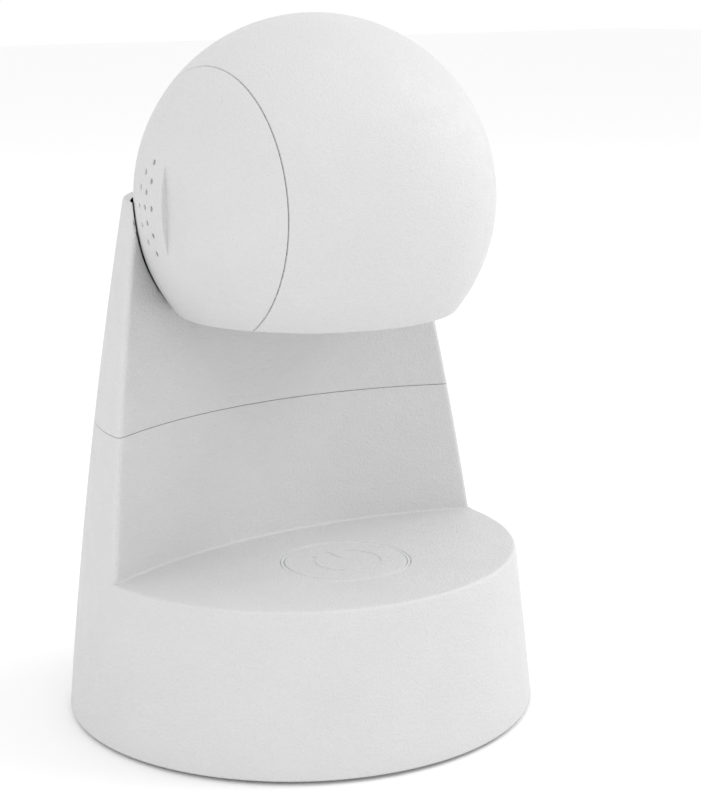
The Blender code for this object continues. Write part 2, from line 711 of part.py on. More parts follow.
def make_button(axis):
    """Round cap, flush with the plate, with a sunk standby sign and a stem."""
    x, y, top = BUTTON
    edge, ceiling, step = 0.3 * MM, top - CAP_WALL, CAP_BOTTOM + CAP_WALL
    profile = [
        (0, top),
        (BUTTON_RADIUS - edge, top),
        (BUTTON_RADIUS, top - edge),
        (BUTTON_RADIUS, step),
        (RING_OUTER, step),
        (RING_OUTER, CAP_BOTTOM),
        (BUTTON_RADIUS - CAP_WALL, CAP_BOTTOM),
        (BUTTON_RADIUS - CAP_WALL, ceiling),
        (STEM_RADIUS, ceiling),
        (STEM_RADIUS, STEM_BOTTOM),
        (0, STEM_BOTTOM),
    ]
    cap = turned("call_button", profile, centre=(x, y, 0), segments=32)
    inner, outer = SYMBOL_RADIUS - SYMBOL_LINE / 2, SYMBOL_RADIUS + SYMBOL_LINE / 2
    opening = math.radians(32)
    start, stop = math.pi / 2 + opening, math.pi / 2 + 2 * math.pi - opening
    sector = ring_sector(inner, outer, start, stop, 16)
    low, high = top - SYMBOL_DEPTH, top + 1 * MM
    cut(cap, prism("sign", sector, low, high, centre=(x, y, 0)))
    half = SYMBOL_LINE / 2
    near, far = y + 1.2 * SYMBOL_LINE, y + outer + half
    cut(cap, block("bar", (x - half, near, low), (x + half, far, high)))
    return finish(cap, "white_plastic", axis)


def make_button_ring():
    """Light guide around the button, held under the plate by its flange."""
    x, y, top = BUTTON
    under = top - WALL - FIT
    profile = [
        (RING_INNER, top - SEAT_GAP),
        (RING_OUTER, top - SEAT_GAP),
        (RING_OUTER, under),
        (RING_OUTER + RING_FLANGE, under),
        (RING_OUTER + RING_FLANGE, under - RING_THICKNESS),
        (RING_INNER, under - RING_THICKNESS),
    ]
    ring = turned("button_ring", profile, centre=(x, y, 0), segments=32)
    return finish(ring, "light_guide")


def make_button_spring():
    """Return spring around the switch, between the board and the cap."""
    clear, per_turn = SPRING_WIRE + RUNNING, 10
    low, high = BOARD_TOP + clear, PLATE_HEIGHT - CAP_WALL - clear
    curve = bpy.data.curves.new("button_spring", "CURVE")
    curve.dimensions = "3D"
    curve.bevel_depth = SPRING_WIRE
    curve.bevel_resolution = 1
    curve.use_fill_caps = True
    curve.resolution_u = 1
    curve.render_resolution_u = 0
    path = curve.splines.new("POLY")
    count = SPRING_TURNS * per_turn + 1
    path.points.add(count - 1)
    for i in range(count):
        angle = 2 * math.pi * i / per_turn
        height = low + (high - low) * i / (count - 1)
        x, y = SPRING_RADIUS * math.cos(angle), SPRING_RADIUS * math.sin(angle)
        path.points[i].co = (x, y, height - BUTTON.z, 1)
    spring = bpy.data.objects.new("button_spring", curve)
    spring.location = BUTTON
    bpy.context.scene.collection.objects.link(spring)
    bpy.context.view_layer.update()
    graph = bpy.context.evaluated_depsgraph_get()
    mesh = bpy.data.meshes.new_from_object(spring.evaluated_get(graph))
    mesh.transform(Matrix.Translation(BUTTON))
    bpy.data.objects.remove(spring)
    bm = bmesh.new()
    bm.from_mesh(mesh)
    bmesh.ops.remove_doubles(bm, verts=bm.verts, dist=0.002 * MM)
    return finish(new_object("button_spring", bm), "steel")


# -------------------------------------------------------------- pan bearing


def involute(angle):
    """The involute function, in radians."""
    return math.tan(angle) - angle


def gear_outline(teeth, first, last):
    """Outline of a spur gear's teeth first to last, tooth 0 centred on +X."""
    pitch = teeth * GEAR_MODULE / 2
    pressure = math.radians(25)
    base = pitch * math.cos(pressure)
    tip, root = pitch + ADDENDUM, pitch - DEDENDUM
    half = math.pi / (2 * teeth) - MESH_SLACK / (2 * pitch) + involute(pressure)
    points = []
    for k in range(first, last + 1):
        middle = 2 * math.pi * k / teeth
        flank = []
        for j in range(3):
            radius = max(base, root) + (tip - max(base, root)) * j / 2
            swing = half - involute(math.acos(min(1.0, base / radius)))
            flank.append((radius, swing))
        for radius, swing in [(root, flank[0][1] + 0.02), *flank]:
            points.append((radius, middle - swing))
        for radius, swing in [*reversed(flank), (root, flank[0][1] + 0.02)]:
            points.append((radius, middle + swing))
    return [(r * math.cos(a), r * math.sin(a)) for r, a in points]


def make_pan_post():
    """Hollow post on the shelf that the head turns around."""
    low = SHELF_TOP + SEAT_GAP
    flange = low + 0.4 * MM
    profile = [
        (POST_BORE, low),
        (POST_RADIUS + POST_FLANGE, low),
        (POST_RADIUS + POST_FLANGE, flange),
        (POST_RADIUS, flange),
        (POST_RADIUS, POST_TOP),
        (POST_BORE, POST_TOP),
    ]
    post = turned("pan_post", profile, centre=(0, HEAD_Y, 0), segments=24)
    return finish(post, "steel")


def make_pan_gear():
    """Fixed gear on the post, which the head's pinion walks around."""
    outline = gear_outline(PAN_TEETH, 0, PAN_TEETH - 1)
    gear = prism("pan_gear", outline, GEAR_LOW, GEAR_TOP, centre=(0, HEAD_Y, 0))
    bore = POST_RADIUS + RUNNING
    cut(gear, drum("bore", bore, 0, 2 * HEAD_HEIGHT, centre=(0, HEAD_Y, 0), segments=24))
    return finish(gear, "acetal")


def make_pan_clip():
    """Snap ring that keeps the gear and the head on the post."""
    inner, low = POST_RADIUS + RUNNING, GEAR_TOP + 2 * RUNNING
    clip = tube("pan_clip", inner, inner + CLIP_WIDTH, low, low + CLIP_THICKNESS,
                centre=(0, HEAD_Y, 0), segments=20)
    cut(clip, block("gap", (-CLIP_WIDTH, HEAD_Y, 0), (CLIP_WIDTH, HEAD_Y + 3 * POST_RADIUS, 2 * low)))
    return finish(clip, "steel")


def make_pinion(name, axis, direction, low, high, shaft):
    """Pinion and its shaft, its teeth set to mesh with a wheel that lies towards +X."""
    outline = gear_outline(PINION_TEETH, 0, PINION_TEETH - 1)
    turn = math.pi / PINION_TEETH
    outline = [
        (x * math.cos(turn) - y * math.sin(turn), x * math.sin(turn) + y * math.cos(turn))
        for x, y in outline
    ]
    centre = axis.location.copy()
    centre["XYZ".index(direction)] = 0
    gear = prism(name, outline, low, high, direction, centre)
    join(gear, drum("shaft", SHAFT_RADIUS, (low + high) / 2, shaft, direction, centre))
    return finish(gear, "acetal", axis)


def make_ribbon_cable():
    """Flat cable from the base board, up the column and into the post."""
    level = SHELF_BOTTOM + CABLE_LEVEL
    start_y = BOARD_Y + BOARD_HALF_Y
    middle = (start_y + CABLE_Y) / 2
    route = [
        (start_y - 3 * MM, BOARD_TOP + 0.6 * MM),
        (start_y + 2 * MM, BOARD_TOP + 1.5 * MM),
        (middle, BOARD_TOP + 3.5 * MM),
        (CABLE_Y - 2 * MM, BOARD_TOP + 9 * MM),
        (CABLE_Y, BOARD_TOP + 17 * MM),
        (CABLE_Y, SHELF_BOTTOM - 3 * MM),
        (CABLE_Y - 0.8 * MM, level - 0.8 * MM),
        (CABLE_Y - 2.4 * MM, level),
        (HEAD_Y + 1.8 * MM, level),
        (HEAD_Y + 0.5 * MM, level + 0.6 * MM),
        (HEAD_Y, level + 2.2 * MM),
        (HEAD_Y, POST_TOP - MM),
    ]
    bm = bmesh.new()
    left, right = [], []
    for i, (y, z) in enumerate(route):
        before, after = route[max(i - 1, 0)], route[min(i + 1, len(route) - 1)]
        along = Vector((0, after[0] - before[0], after[1] - before[1])).normalized()
        across = Vector((0, -along.z, along.y)) * CABLE_THICKNESS / 2
        left.append(Vector((0, y, z)) + across)
        right.append(Vector((0, y, z)) - across)
    side = Vector((-CABLE_WIDTH / 2, 0, 0))
    verts = [bm.verts.new(point + side) for point in left + right[::-1]]
    face = bm.faces.new(verts)
    raised = bmesh.ops.extrude_face_region(bm, geom=[face])["geom"]
    tops = [item for item in raised if isinstance(item, bmesh.types.BMVert)]
    bmesh.ops.translate(bm, verts=tops, vec=(CABLE_WIDTH, 0, 0))
    return finish(new_object("ribbon_cable", bm), "flex_film")


# ----------------------------------------------------------------- ball head


def under_head(name):
    """Everything below the head's flat bottom."""
    wide = 1.2 * HEAD_RADIUS
    return block(name, HEAD - Vector((wide, wide, wide)), HEAD + Vector((wide, wide, -HEAD_CUT)))


def sphere_angle(radius, distance):
    """Angle from the pole at which a sphere reaches a plane at a distance."""
    return math.acos(max(-1.0, min(1.0, distance / radius)))


def make_head_shell(axis):
    """Main part of the ball, from the bezel's opening back to the cover's seam."""
    opening = BEZEL_RADIUS + FIT
    start = math.asin(opening / HEAD_RADIUS)
    inner_start = math.asin(opening / HEAD_INSIDE)
    seam = -COVER_SEAM + SEAM_GAP / 2
    outside = arc(HEAD_RADIUS, start, sphere_angle(HEAD_RADIUS, seam), 10)
    inside = arc(HEAD_INSIDE, inner_start, sphere_angle(HEAD_INSIDE, seam), 7)
    shell = turned("head_shell", outside + inside[::-1], "X", HEAD)
    cut(shell, under_head("under"))
    return finish(shell, "white_plastic", axis)


def rear_turned(name, profile, segments=ROUND):
    """A profile of (radius, distance back from the head's middle), spun about the X axis."""
    thing = turned(name, profile, "X", (0, 0, 0), segments)
    thing.data.transform(Matrix.Translation(HEAD) @ Matrix.Rotation(math.pi, 4, "Z"))
    return thing


def make_rear_cover(axis):
    """Cap behind the seam, with a flat finger facet, sound holes and a speaker cradle."""
    seam, lip_end = COVER_SEAM + SEAM_GAP / 2, COVER_SEAM - COVER_LIP
    lip_out = HEAD_INSIDE - FIT
    lip_in = lip_out - LIP_WALL
    outside = arc(HEAD_RADIUS, 0, sphere_angle(HEAD_RADIUS, seam), 7)
    step = arc(lip_out, sphere_angle(lip_out, seam), sphere_angle(lip_out, lip_end), 1)
    inside = arc(lip_in, 0, sphere_angle(lip_in, lip_end), 6)[::-1]
    cover = rear_turned("rear_cover", outside + step + inside)
    hollow_end = seam + WALL
    hollow = arc(HEAD_INSIDE, 0, sphere_angle(HEAD_INSIDE, hollow_end), 6) + [(0, hollow_end)]
    cut(cover, rear_turned("hollow", hollow))
    inner, back = SPEAKER_RADIUS + FIT, SPEAKER_FRONT - SPEAKER_DEPTH + CRADLE_WALL
    outer = inner + CRADLE_WALL
    cradle = rear_turned("cradle", [(inner, back), (outer, back), (outer, HEAD_INSIDE), (inner, HEAD_INSIDE)], 24)
    join(cover, cut(cradle, outside_ball("beyond", HEAD_RADIUS - HEAD_WALL / 2)))
    cut(cover, under_head("under"))
    cut(cover, drum("floor_room", FLOOR_RADIUS + FIT, 0, FLOOR_TOP + FIT, centre=(0, HEAD_Y, 0), segments=ROUND))
    facet = HEAD.x - HEAD_RADIUS + FACET_DEPTH
    low = (facet - HEAD_RADIUS, HEAD.y - HEAD_RADIUS, HEAD.z - HEAD_RADIUS)
    high = (facet, HEAD.y - FACET_EDGE, HEAD.z + HEAD_RADIUS)
    cut(cover, block("facet", low, high))
    for ring, count, step_angle in HOLE_RINGS:
        for i in range(count):
            angle = math.radians(step_angle * (i - (count - 1) / 2))
            place = HEAD + Vector((0, ring * math.cos(angle), ring * math.sin(angle)))
            hole = drum("hole", HOLE_RADIUS, -1.2 * HEAD_RADIUS, -0.8 * HEAD_RADIUS, "X", place, 6)
            cut(cover, hole)
    return finish(cover, "white_plastic", axis)


def outside_ball(name, radius):
    """A thick shell outside a radius about the head's middle."""
    profile = arc(radius, 0, math.pi, 12) + arc(1.3 * radius, math.pi, 0, 12)
    return turned(name, profile, "X", HEAD, 24)


def make_head_floor(axis):
    """Round floor that closes the ball and turns on the post."""
    floor = tube("head_floor", POST_RADIUS + RUNNING, FLOOR_RADIUS, HEAD_HEIGHT - HEAD_CUT, FLOOR_TOP,
                 centre=(0, HEAD_Y, 0), segments=ROUND)
    for place in motor_screw_places():
        join(floor, tube("post", EAR_HOLE - SEAT_GAP, EAR_HOLE + MM, FLOOR_TOP - FLOOR / 3,
                         MOTOR_LOW - SEAT_GAP, centre=place))
    cut(floor, ball("eye_room", EYE_RADIUS + EYE_GAP, EYE))
    wide = 2 * HEAD_RADIUS
    bezel_room = block("bezel_room", HEAD + Vector((FLANGE_BACK - FIT, -wide, -wide)),
                       HEAD + Vector((wide, wide, 0)))
    cut(floor, bezel_room)
    return finish(floor, "white_plastic", axis)


def motor_screw_places():
    """Middles of the two screws through the pan motor's ears."""
    for side in (-1, 1):
        yield Vector((PAN_PINION.x, PAN_PINION.y + side * (MOTOR_RADIUS + EAR_HOLE_REACH), 0))


def make_motor(name, axis, direction, face, centre):
    """A small geared stepper motor along Y or Z with two ears, its shaft end at face."""
    body = drum(name, MOTOR_RADIUS, face, face + MOTOR_LENGTH, direction, centre, 20)
    along = "XYZ".index(direction)
    across = 1 if direction == "Z" else 2
    low, high = Vector(centre), Vector(centre)
    low.x -= EAR_HALF_WIDTH
    high.x += EAR_HALF_WIDTH
    low[across] -= MOTOR_RADIUS + EAR_REACH
    high[across] += MOTOR_RADIUS + EAR_REACH
    low[along], high[along] = face, face + MOTOR_EAR
    join(body, block("ears", low, high))
    for side in (-1, 1):
        place = Vector(centre)
        place[across] += side * (MOTOR_RADIUS + EAR_HOLE_REACH)
        cut(body, drum("hole", EAR_HOLE, face - MM, face + MOTOR_EAR + MM, direction, place))
    return finish(body, "zinc_plate", axis)


def make_pan_drive(axis, pinion_axis):
    """Motor, pinion and the two screws of the pan drive."""
    centre = (PAN_PINION.x, PAN_PINION.y, 0)
    make_motor("pan_motor", axis, "Z", MOTOR_LOW, centre)
    make_pinion("pan_pinion", pinion_axis, "Z", GEAR_LOW, GEAR_TOP, MOTOR_LOW - 2 * RUNNING)
    core, head = EAR_HOLE - 2 * RUNNING, EAR_HOLE + 0.6 * MM
    seat = MOTOR_LOW + MOTOR_EAR + SEAT_GAP
    tip, top = GEAR_TOP - MM, seat + 0.8 * MM
    profile = [(0, tip), (core, tip), (core, seat), (head, seat), (head, top), (0, top)]
    for number, place in enumerate(motor_screw_places(), 1):
        screw = turned(f"motor_screw_{number}", profile, centre=place, segments=SMALL_ROUND)
        finish(screw, "steel", axis)


def make_speaker(axis):
    """Round loudspeaker behind the sound holes."""
    front, back, magnet = SPEAKER_FRONT, SPEAKER_FRONT - SPEAKER_DEPTH, 0.68 * SPEAKER_RADIUS
    profile = [
        (0, front - MM),
        (0.42 * SPEAKER_RADIUS, front - 0.6 * MM),
        (SPEAKER_RADIUS - MM, front),
        (SPEAKER_RADIUS, front),
        (SPEAKER_RADIUS, front - 0.5 * SPEAKER_DEPTH),
        (magnet, front - 0.65 * SPEAKER_DEPTH),
        (magnet, back),
        (0, back),
    ]
    return finish(rear_turned("speaker", profile, 24), "black_plastic", axis)


def make_head_board(axis):
    """Upright circuit board between the loudspeaker and the motors, with its chips."""
    back = -COVER_SEAM + HEAD_BOARD_BACK
    front = back + BOARD_THICKNESS
    half = math.sqrt(((HEAD_INSIDE - HEAD_BOARD_MARGIN) ** 2 - back**2) / 2)
    low, high = Vector((back, -half, -9 * MM)), Vector((front, half, half))
    board = block("head_board", HEAD + low, HEAD + high)
    module_low = half - WIFI_WIDTH - MM
    chip = block("chip", HEAD + Vector((front - SEAT_GAP, MM - half, 0)),
                 HEAD + Vector((front + 1.5 * MM, module_low - 2 * MM, half - 3 * MM)))
    join(board, chip)
    finish(board, "circuit_board", axis)
    module = block("wifi_module", HEAD + Vector((front + SEAT_GAP, module_low, -7 * MM)),
                   HEAD + Vector((front + 2.2 * MM, module_low + WIFI_WIDTH, half - 5 * MM)))
    return finish(module, "zinc_plate", axis)


def make_antenna(axis):
    """Thin printed antenna under the top of the ball."""
    reach = abs(ANTENNA_X) + ANTENNA_HALF_WIDTH
    top = math.sqrt(HEAD_INSIDE**2 - reach**2 - ANTENNA_HALF_LENGTH**2) - ANTENNA_ROOM
    half = Vector((ANTENNA_HALF_WIDTH, ANTENNA_HALF_LENGTH, 0))
    low = HEAD + Vector((ANTENNA_X, 0, top - ANTENNA_THICKNESS)) - half
    high = HEAD + Vector((ANTENNA_X, 0, top)) + half
    return finish(block("antenna", low, high), "circuit_board", axis)


# ------------------------------------------------------------ eyeball and lens


def eye_section(distance, clearance):
    """Radius of the eyeball's outline at a distance along X from the head's middle."""
    return math.sqrt((EYE_RADIUS + clearance) ** 2 - (distance - EYE_X) ** 2)


def make_bezel(axis):
    """Dished ring that closes the ball's opening around the eyeball."""
    edge = 0.4 * MM
    inner = eye_section(BEZEL_INNER_X, EYE_GAP)
    inner_back = eye_section(FLANGE_BACK, EYE_GAP)
    flange = math.sqrt((HEAD_INSIDE - FIT) ** 2 - FLANGE_FRONT**2)
    profile = [
        (BEZEL_RADIUS - edge, BEZEL_FRONT),
        (BEZEL_RADIUS, BEZEL_FRONT - edge),
        (BEZEL_RADIUS, FLANGE_FRONT),
        (flange, FLANGE_FRONT),
        (flange, FLANGE_BACK),
        (inner_back, FLANGE_BACK),
        (inner, BEZEL_INNER_X - edge),
        (inner, BEZEL_INNER_X),
    ]
    ring = turned("lens_bezel", profile, "X", HEAD, 40)
    place = HEAD + Vector((0, 0, (inner + BEZEL_RADIUS) / 2 + RUNNING))
    cut(ring, drum("sound_way", HOLE_RADIUS, FRAME_BACK, HEAD_RADIUS, "X", place, 10))
    return finish(ring, "black_plastic", axis)


def frame_radii():
    """Inner and outer radius of the tilt frame's ring."""
    return eye_section(FRAME_BACK, EYE_GAP + RUNNING), math.sqrt((HEAD_INSIDE - FIT) ** 2 - FRAME_FRONT**2)


def make_tilt_frame(axis):
    """Ring behind the bezel with two arms that carry the eyeball's pins."""
    inner, outer = frame_radii()
    frame = tube("tilt_frame", inner, outer, FRAME_BACK, FRAME_FRONT, "X", HEAD, 32)
    for side in (-1, 1):
        near, far = sorted((side * ARM_INSIDE, side * (ARM_INSIDE + ARM_WALL)))
        low = HEAD + Vector((EYE_X - ARM_HALF, near, -ARM_HALF))
        high = HEAD + Vector((FRAME_BACK + FRAME_DEPTH / 2, far, ARM_HALF))
        join(frame, block("arm", low, high))
    low = HEAD - Vector((0, HEAD_RADIUS, HEAD_RADIUS))
    high = Vector((HEAD_RADIUS, HEAD_Y + HEAD_RADIUS, FLOOR_TOP + FIT))
    cut(frame, block("flat", low, high))
    reach = ARM_INSIDE + 2 * ARM_WALL
    cut(frame, drum("bearing", PIN_RADIUS + RUNNING, -reach, reach, "Y", EYE))
    place = HEAD + Vector((0, 0, (inner + outer) / 2))
    cut(frame, drum("sound_way", 2 * HOLE_RADIUS, 0, HEAD_RADIUS, "X", place, 12))
    return finish(frame, "grey_plastic", axis)


def make_microphone(axis):
    """Small microphone capsule behind the frame's sound hole."""
    place = HEAD + Vector((0, 0, sum(frame_radii()) / 2))
    high = FRAME_BACK - RUNNING
    low = high - 0.9 * MICROPHONE_RADIUS
    capsule = drum("microphone", MICROPHONE_RADIUS, low, high, "X", place, 20)
    return finish(capsule, "black_plastic", axis)


def make_eyeball(axis):
    """Half-ball that turns behind the bezel, notched for its pins."""
    inside, opening = EYE_RADIUS - EYE_WALL, WINDOW_RADIUS + 0.25 * MM
    start, inner_start = math.asin(opening / EYE_RADIUS), math.asin(opening / inside)
    outside = arc(EYE_RADIUS, start, math.pi / 2, 6)
    within = arc(inside, inner_start, math.pi / 2, 5)
    shell = turned("eyeball_shell", outside + within[::-1], "X", EYE, 36)
    reach = EYE_RADIUS + ARM_WALL
    cut(shell, drum("notch", PIN_RADIUS + BOSS_WALL + 4 * RUNNING, -reach, reach, "Y", EYE))
    return finish(shell, "white_plastic", axis)


def make_carrier(axis):
    """Plate across the back of the eyeball with a boss for each pin."""
    plate = drum("lens_carrier", EYE_RADIUS - 2 * FIT, CARRIER_FRONT - CARRIER_THICKNESS, CARRIER_FRONT,
                 "X", EYE, 32)
    deep = EYE_RADIUS - PIN_DEPTH
    for side in (-1, 1):
        near, far = sorted((side * (deep - BOSS_WALL), side * (EYE_RADIUS - 2 * RUNNING)))
        join(plate, drum("boss", PIN_RADIUS + BOSS_WALL, near, far, "Y", EYE))
    for side in (-1, 1):
        near, far = sorted((side * (deep - 2 * RUNNING), side * (EYE_RADIUS + ARM_WALL)))
        cut(plate, drum("bore", PIN_RADIUS + SEAT_GAP, near, far, "Y", EYE))
    return finish(plate, "grey_plastic", axis)


def make_pins(axis):
    """The two steel pins that the eyeball tilts on."""
    for side, name in ((-1, "right"), (1, "left")):
        near, far = sorted((side * (EYE_RADIUS - PIN_DEPTH), side * (ARM_INSIDE + ARM_WALL)))
        finish(drum(f"tilt_pin_{name}", PIN_RADIUS, near, far, "Y", EYE), "steel", axis)


def make_tilt_gear(axis):
    """Toothed sector on the back of the eyeball's carrier."""
    side_teeth = math.ceil(TILT_LIMIT * TILT_TEETH / (2 * math.pi)) + 1
    middle = TILT_TEETH // 2
    outline = gear_outline(TILT_TEETH, middle - side_teeth, middle + side_teeth)
    back, half = CARRIER_FRONT - CARRIER_THICKNESS - FIT, 0.6 * TILT_TEETH * GEAR_MODULE / 2
    outline += [(back, -half), (back, half)]
    gear = prism("tilt_gear", outline, TILT_GEAR_LOW, TILT_GEAR_HIGH, "Y", EYE)
    return finish(gear, "acetal", axis)


def make_tilt_drive(axis, pinion_axis):
    """Motor and pinion of the tilt drive."""
    face = TILT_GEAR_HIGH + 3 * FIT
    make_motor("tilt_motor", axis, "Y", HEAD.y + face, (TILT_PINION.x, 0, TILT_PINION.z))
    gear_low, gear_high = HEAD.y + TILT_GEAR_LOW, HEAD.y + TILT_GEAR_HIGH
    make_pinion("tilt_pinion", pinion_axis, "Y", gear_low, gear_high, HEAD.y + face - 2 * RUNNING)


def make_sensor(axis):
    """Square image-sensor board on the carrier, as wide as the eyeball leaves room for."""
    half = (EYE_RADIUS - EYE_WALL - 2 * MM) / math.sqrt(2)
    board = block("sensor_board", EYE + Vector((SENSOR_LOW, -half, -half)),
                  EYE + Vector((SENSOR_LOW + BOARD_THICKNESS, half, half)))
    return finish(board, "circuit_board", axis)


def make_lens(axis):
    """Lens barrel on the sensor board, and the front glass in it."""
    base = SENSOR_LOW + BOARD_THICKNESS + SEAT_GAP
    foot, foot_top = BARREL_RADIUS + 1.6 * MM, base + 4 * MM
    tip, throat = EYE_RADIUS - MM, LENS_RADIUS + 2 * RUNNING
    lip, seat = tip - 1.9 * MM, tip - 3.2 * MM
    profile = [
        (0, base),
        (foot, base),
        (foot, foot_top),
        (BARREL_RADIUS, foot_top),
        (BARREL_RADIUS, tip),
        (BARREL_RADIUS - 0.6 * MM, tip),
        (throat, lip),
        (throat, seat),
        (0, seat),
    ]
    finish(turned("lens_barrel", profile, "X", EYE, 24), "black_plastic", axis)
    low, edge = seat + RUNNING, seat + RUNNING + 0.6 * MM
    middle = edge - math.sqrt(LENS_CURVE**2 - LENS_RADIUS**2)
    glass = [(0, low), (LENS_RADIUS, low)] + arc(LENS_CURVE, math.asin(LENS_RADIUS / LENS_CURVE), 0, 3, middle)
    return finish(turned("lens_glass", glass, "X", EYE, 20), "lens_glass", axis)


def make_window(axis):
    """Black acrylic window around the lens, flush with the eyeball."""
    hole, inside = BARREL_RADIUS + FIT, EYE_RADIUS - EYE_WALL
    outside = arc(EYE_RADIUS, math.asin(hole / EYE_RADIUS), math.asin(WINDOW_RADIUS / EYE_RADIUS), 2)
    within = arc(inside, math.asin(hole / inside), math.asin(WINDOW_RADIUS / inside), 2)
    return finish(turned("face_window", outside + within[::-1], "X", EYE, 36), "black_acrylic", axis)


def make_lights(axis):
    """Ring board behind the window, with the infrared lights on it."""
    high = math.sqrt((EYE_RADIUS - EYE_WALL) ** 2 - WINDOW_RADIUS**2) - LED_ROOM
    hole, rim = BARREL_RADIUS + FIT, WINDOW_RADIUS - 0.4 * MM
    ring = tube("light_board", hole, rim, high - MM, high, "X", EYE, 24)
    finish(ring, "circuit_board", axis)
    reach, low = (hole + rim) / 2, high + SEAT_GAP
    profile = [
        (0, low),
        (LED_RADIUS, low),
        (LED_RADIUS, low + MM),
        (0.6 * LED_RADIUS, low + 1.5 * MM),
        (0, low + 1.6 * MM),
    ]
    for i in range(LED_COUNT):
        angle = 2 * math.pi * (i + 0.5) / LED_COUNT
        place = EYE + Vector((0, reach * math.cos(angle), reach * math.sin(angle)))
        finish(turned(f"infrared_led_{i + 1}", profile, "X", place, 8), "led_epoxy", axis)


# ---------------------------------------------------------------------- model


def clear_scene():
    """Removes what a new Blender file holds."""
    for thing in list(bpy.data.objects):
        bpy.data.objects.remove(thing)


def build():
    """Builds the camera, sub-assembly by sub-assembly."""
    clear_scene()
    pan_axis = pivot("pan_axis", HEAD)
    tilt_axis = pivot("tilt_axis", EYE)
    pan_pinion_axis = pivot("pan_pinion_axis", Vector((PAN_PINION.x, PAN_PINION.y, GEAR_LOW)))
    tilt_pinion_axis = pivot("tilt_pinion_axis", TILT_PINION)
    button_axis = pivot("button_axis", BUTTON)

    make_base_housing()
    make_upper_column()
    make_bottom_plate()
    make_feet()
    make_base_screws()
    make_ballast()
    make_base_board()
    make_button_switch()
    make_power_inlet()
    make_button_ring()
    make_button(button_axis)
    make_button_spring()
    make_ribbon_cable()
    make_pan_post()
    make_pan_gear()
    make_pan_clip()

    make_head_shell(pan_axis)
    make_rear_cover(pan_axis)
    make_head_floor(pan_axis)
    make_pan_drive(pan_axis, pan_pinion_axis)
    make_speaker(pan_axis)
    make_head_board(pan_axis)
    make_antenna(pan_axis)
    make_bezel(pan_axis)
    make_tilt_frame(pan_axis)
    make_microphone(pan_axis)

    make_eyeball(tilt_axis)
    make_carrier(tilt_axis)
    make_pins(tilt_axis)
    make_tilt_gear(tilt_axis)
    make_tilt_drive(pan_axis, tilt_pinion_axis)
    make_sensor(tilt_axis)
    make_lens(tilt_axis)
    make_window(tilt_axis)
    make_lights(tilt_axis)


build()
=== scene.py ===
"""Looks for the desk security camera, built around its packed working model.

A white ball head stands in the hollow of a crescent column on a tapered round
base. The shells, the button, the eyeball and the lens are made here as fine
meshes with rounded edges, and every inner piece gets the finish of what it is.
Lengths are in metres, and MM turns millimetres into them.
"""

import json
import logging
import math
from dataclasses import dataclass
from enum import Enum
from typing import Iterable, Optional, Sequence, Union

import bmesh
import bpy
from mathutils import Matrix, Quaternion, Vector


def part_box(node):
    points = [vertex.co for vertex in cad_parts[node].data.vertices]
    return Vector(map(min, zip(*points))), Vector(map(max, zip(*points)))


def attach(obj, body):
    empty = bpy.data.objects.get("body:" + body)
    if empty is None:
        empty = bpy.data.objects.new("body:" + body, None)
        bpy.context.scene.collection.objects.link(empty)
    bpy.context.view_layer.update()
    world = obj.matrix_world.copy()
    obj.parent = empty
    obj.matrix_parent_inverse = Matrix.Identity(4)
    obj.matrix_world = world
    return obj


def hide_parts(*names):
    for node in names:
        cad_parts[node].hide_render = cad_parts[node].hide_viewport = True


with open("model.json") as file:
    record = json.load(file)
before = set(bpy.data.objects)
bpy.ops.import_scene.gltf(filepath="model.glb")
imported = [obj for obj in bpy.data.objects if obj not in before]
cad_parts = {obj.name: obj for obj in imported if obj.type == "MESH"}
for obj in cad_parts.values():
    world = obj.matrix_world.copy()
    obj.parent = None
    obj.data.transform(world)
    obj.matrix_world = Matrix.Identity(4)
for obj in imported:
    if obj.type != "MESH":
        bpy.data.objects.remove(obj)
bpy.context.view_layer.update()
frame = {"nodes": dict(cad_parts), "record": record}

MM = 0.001
LOG = logging.getLogger("camera_looks")
Point2 = tuple[float, float]
Value = Union[float, Sequence[float], bpy.types.NodeSocket]


# ------------------------------------------------------------------ shape tools


class Axis(Enum):
    """The direction that a turned or raised shape stands along."""

    X = Matrix.Rotation(math.pi / 2, 4, "Y")
    Y = Matrix.Rotation(-math.pi / 2, 4, "X")
    Z = Matrix.Identity(4)


class Cut(Enum):
    """What a tool shape does to the piece it meets."""

    AWAY = "DIFFERENCE"
    ON = "UNION"


def arc_points(radius: float, start: float, stop: float, steps: int, middle: Point2 = (0, 0)) -> list[Point2]:
    """Points (radius, height) along a circle, with angles measured from the height axis.

    Args:
        radius: the circle's radius.
        start: first angle, in radians.
        stop: last angle, in radians.
        steps: number of stretches between the points.
        middle: the circle's own middle.

    Returns:
        The points, both ends among them.
    """
    angles = [start + (stop - start) * i / steps for i in range(steps + 1)]
    return [(middle[0] + radius * math.sin(a), middle[1] + radius * math.cos(a)) for a in angles]


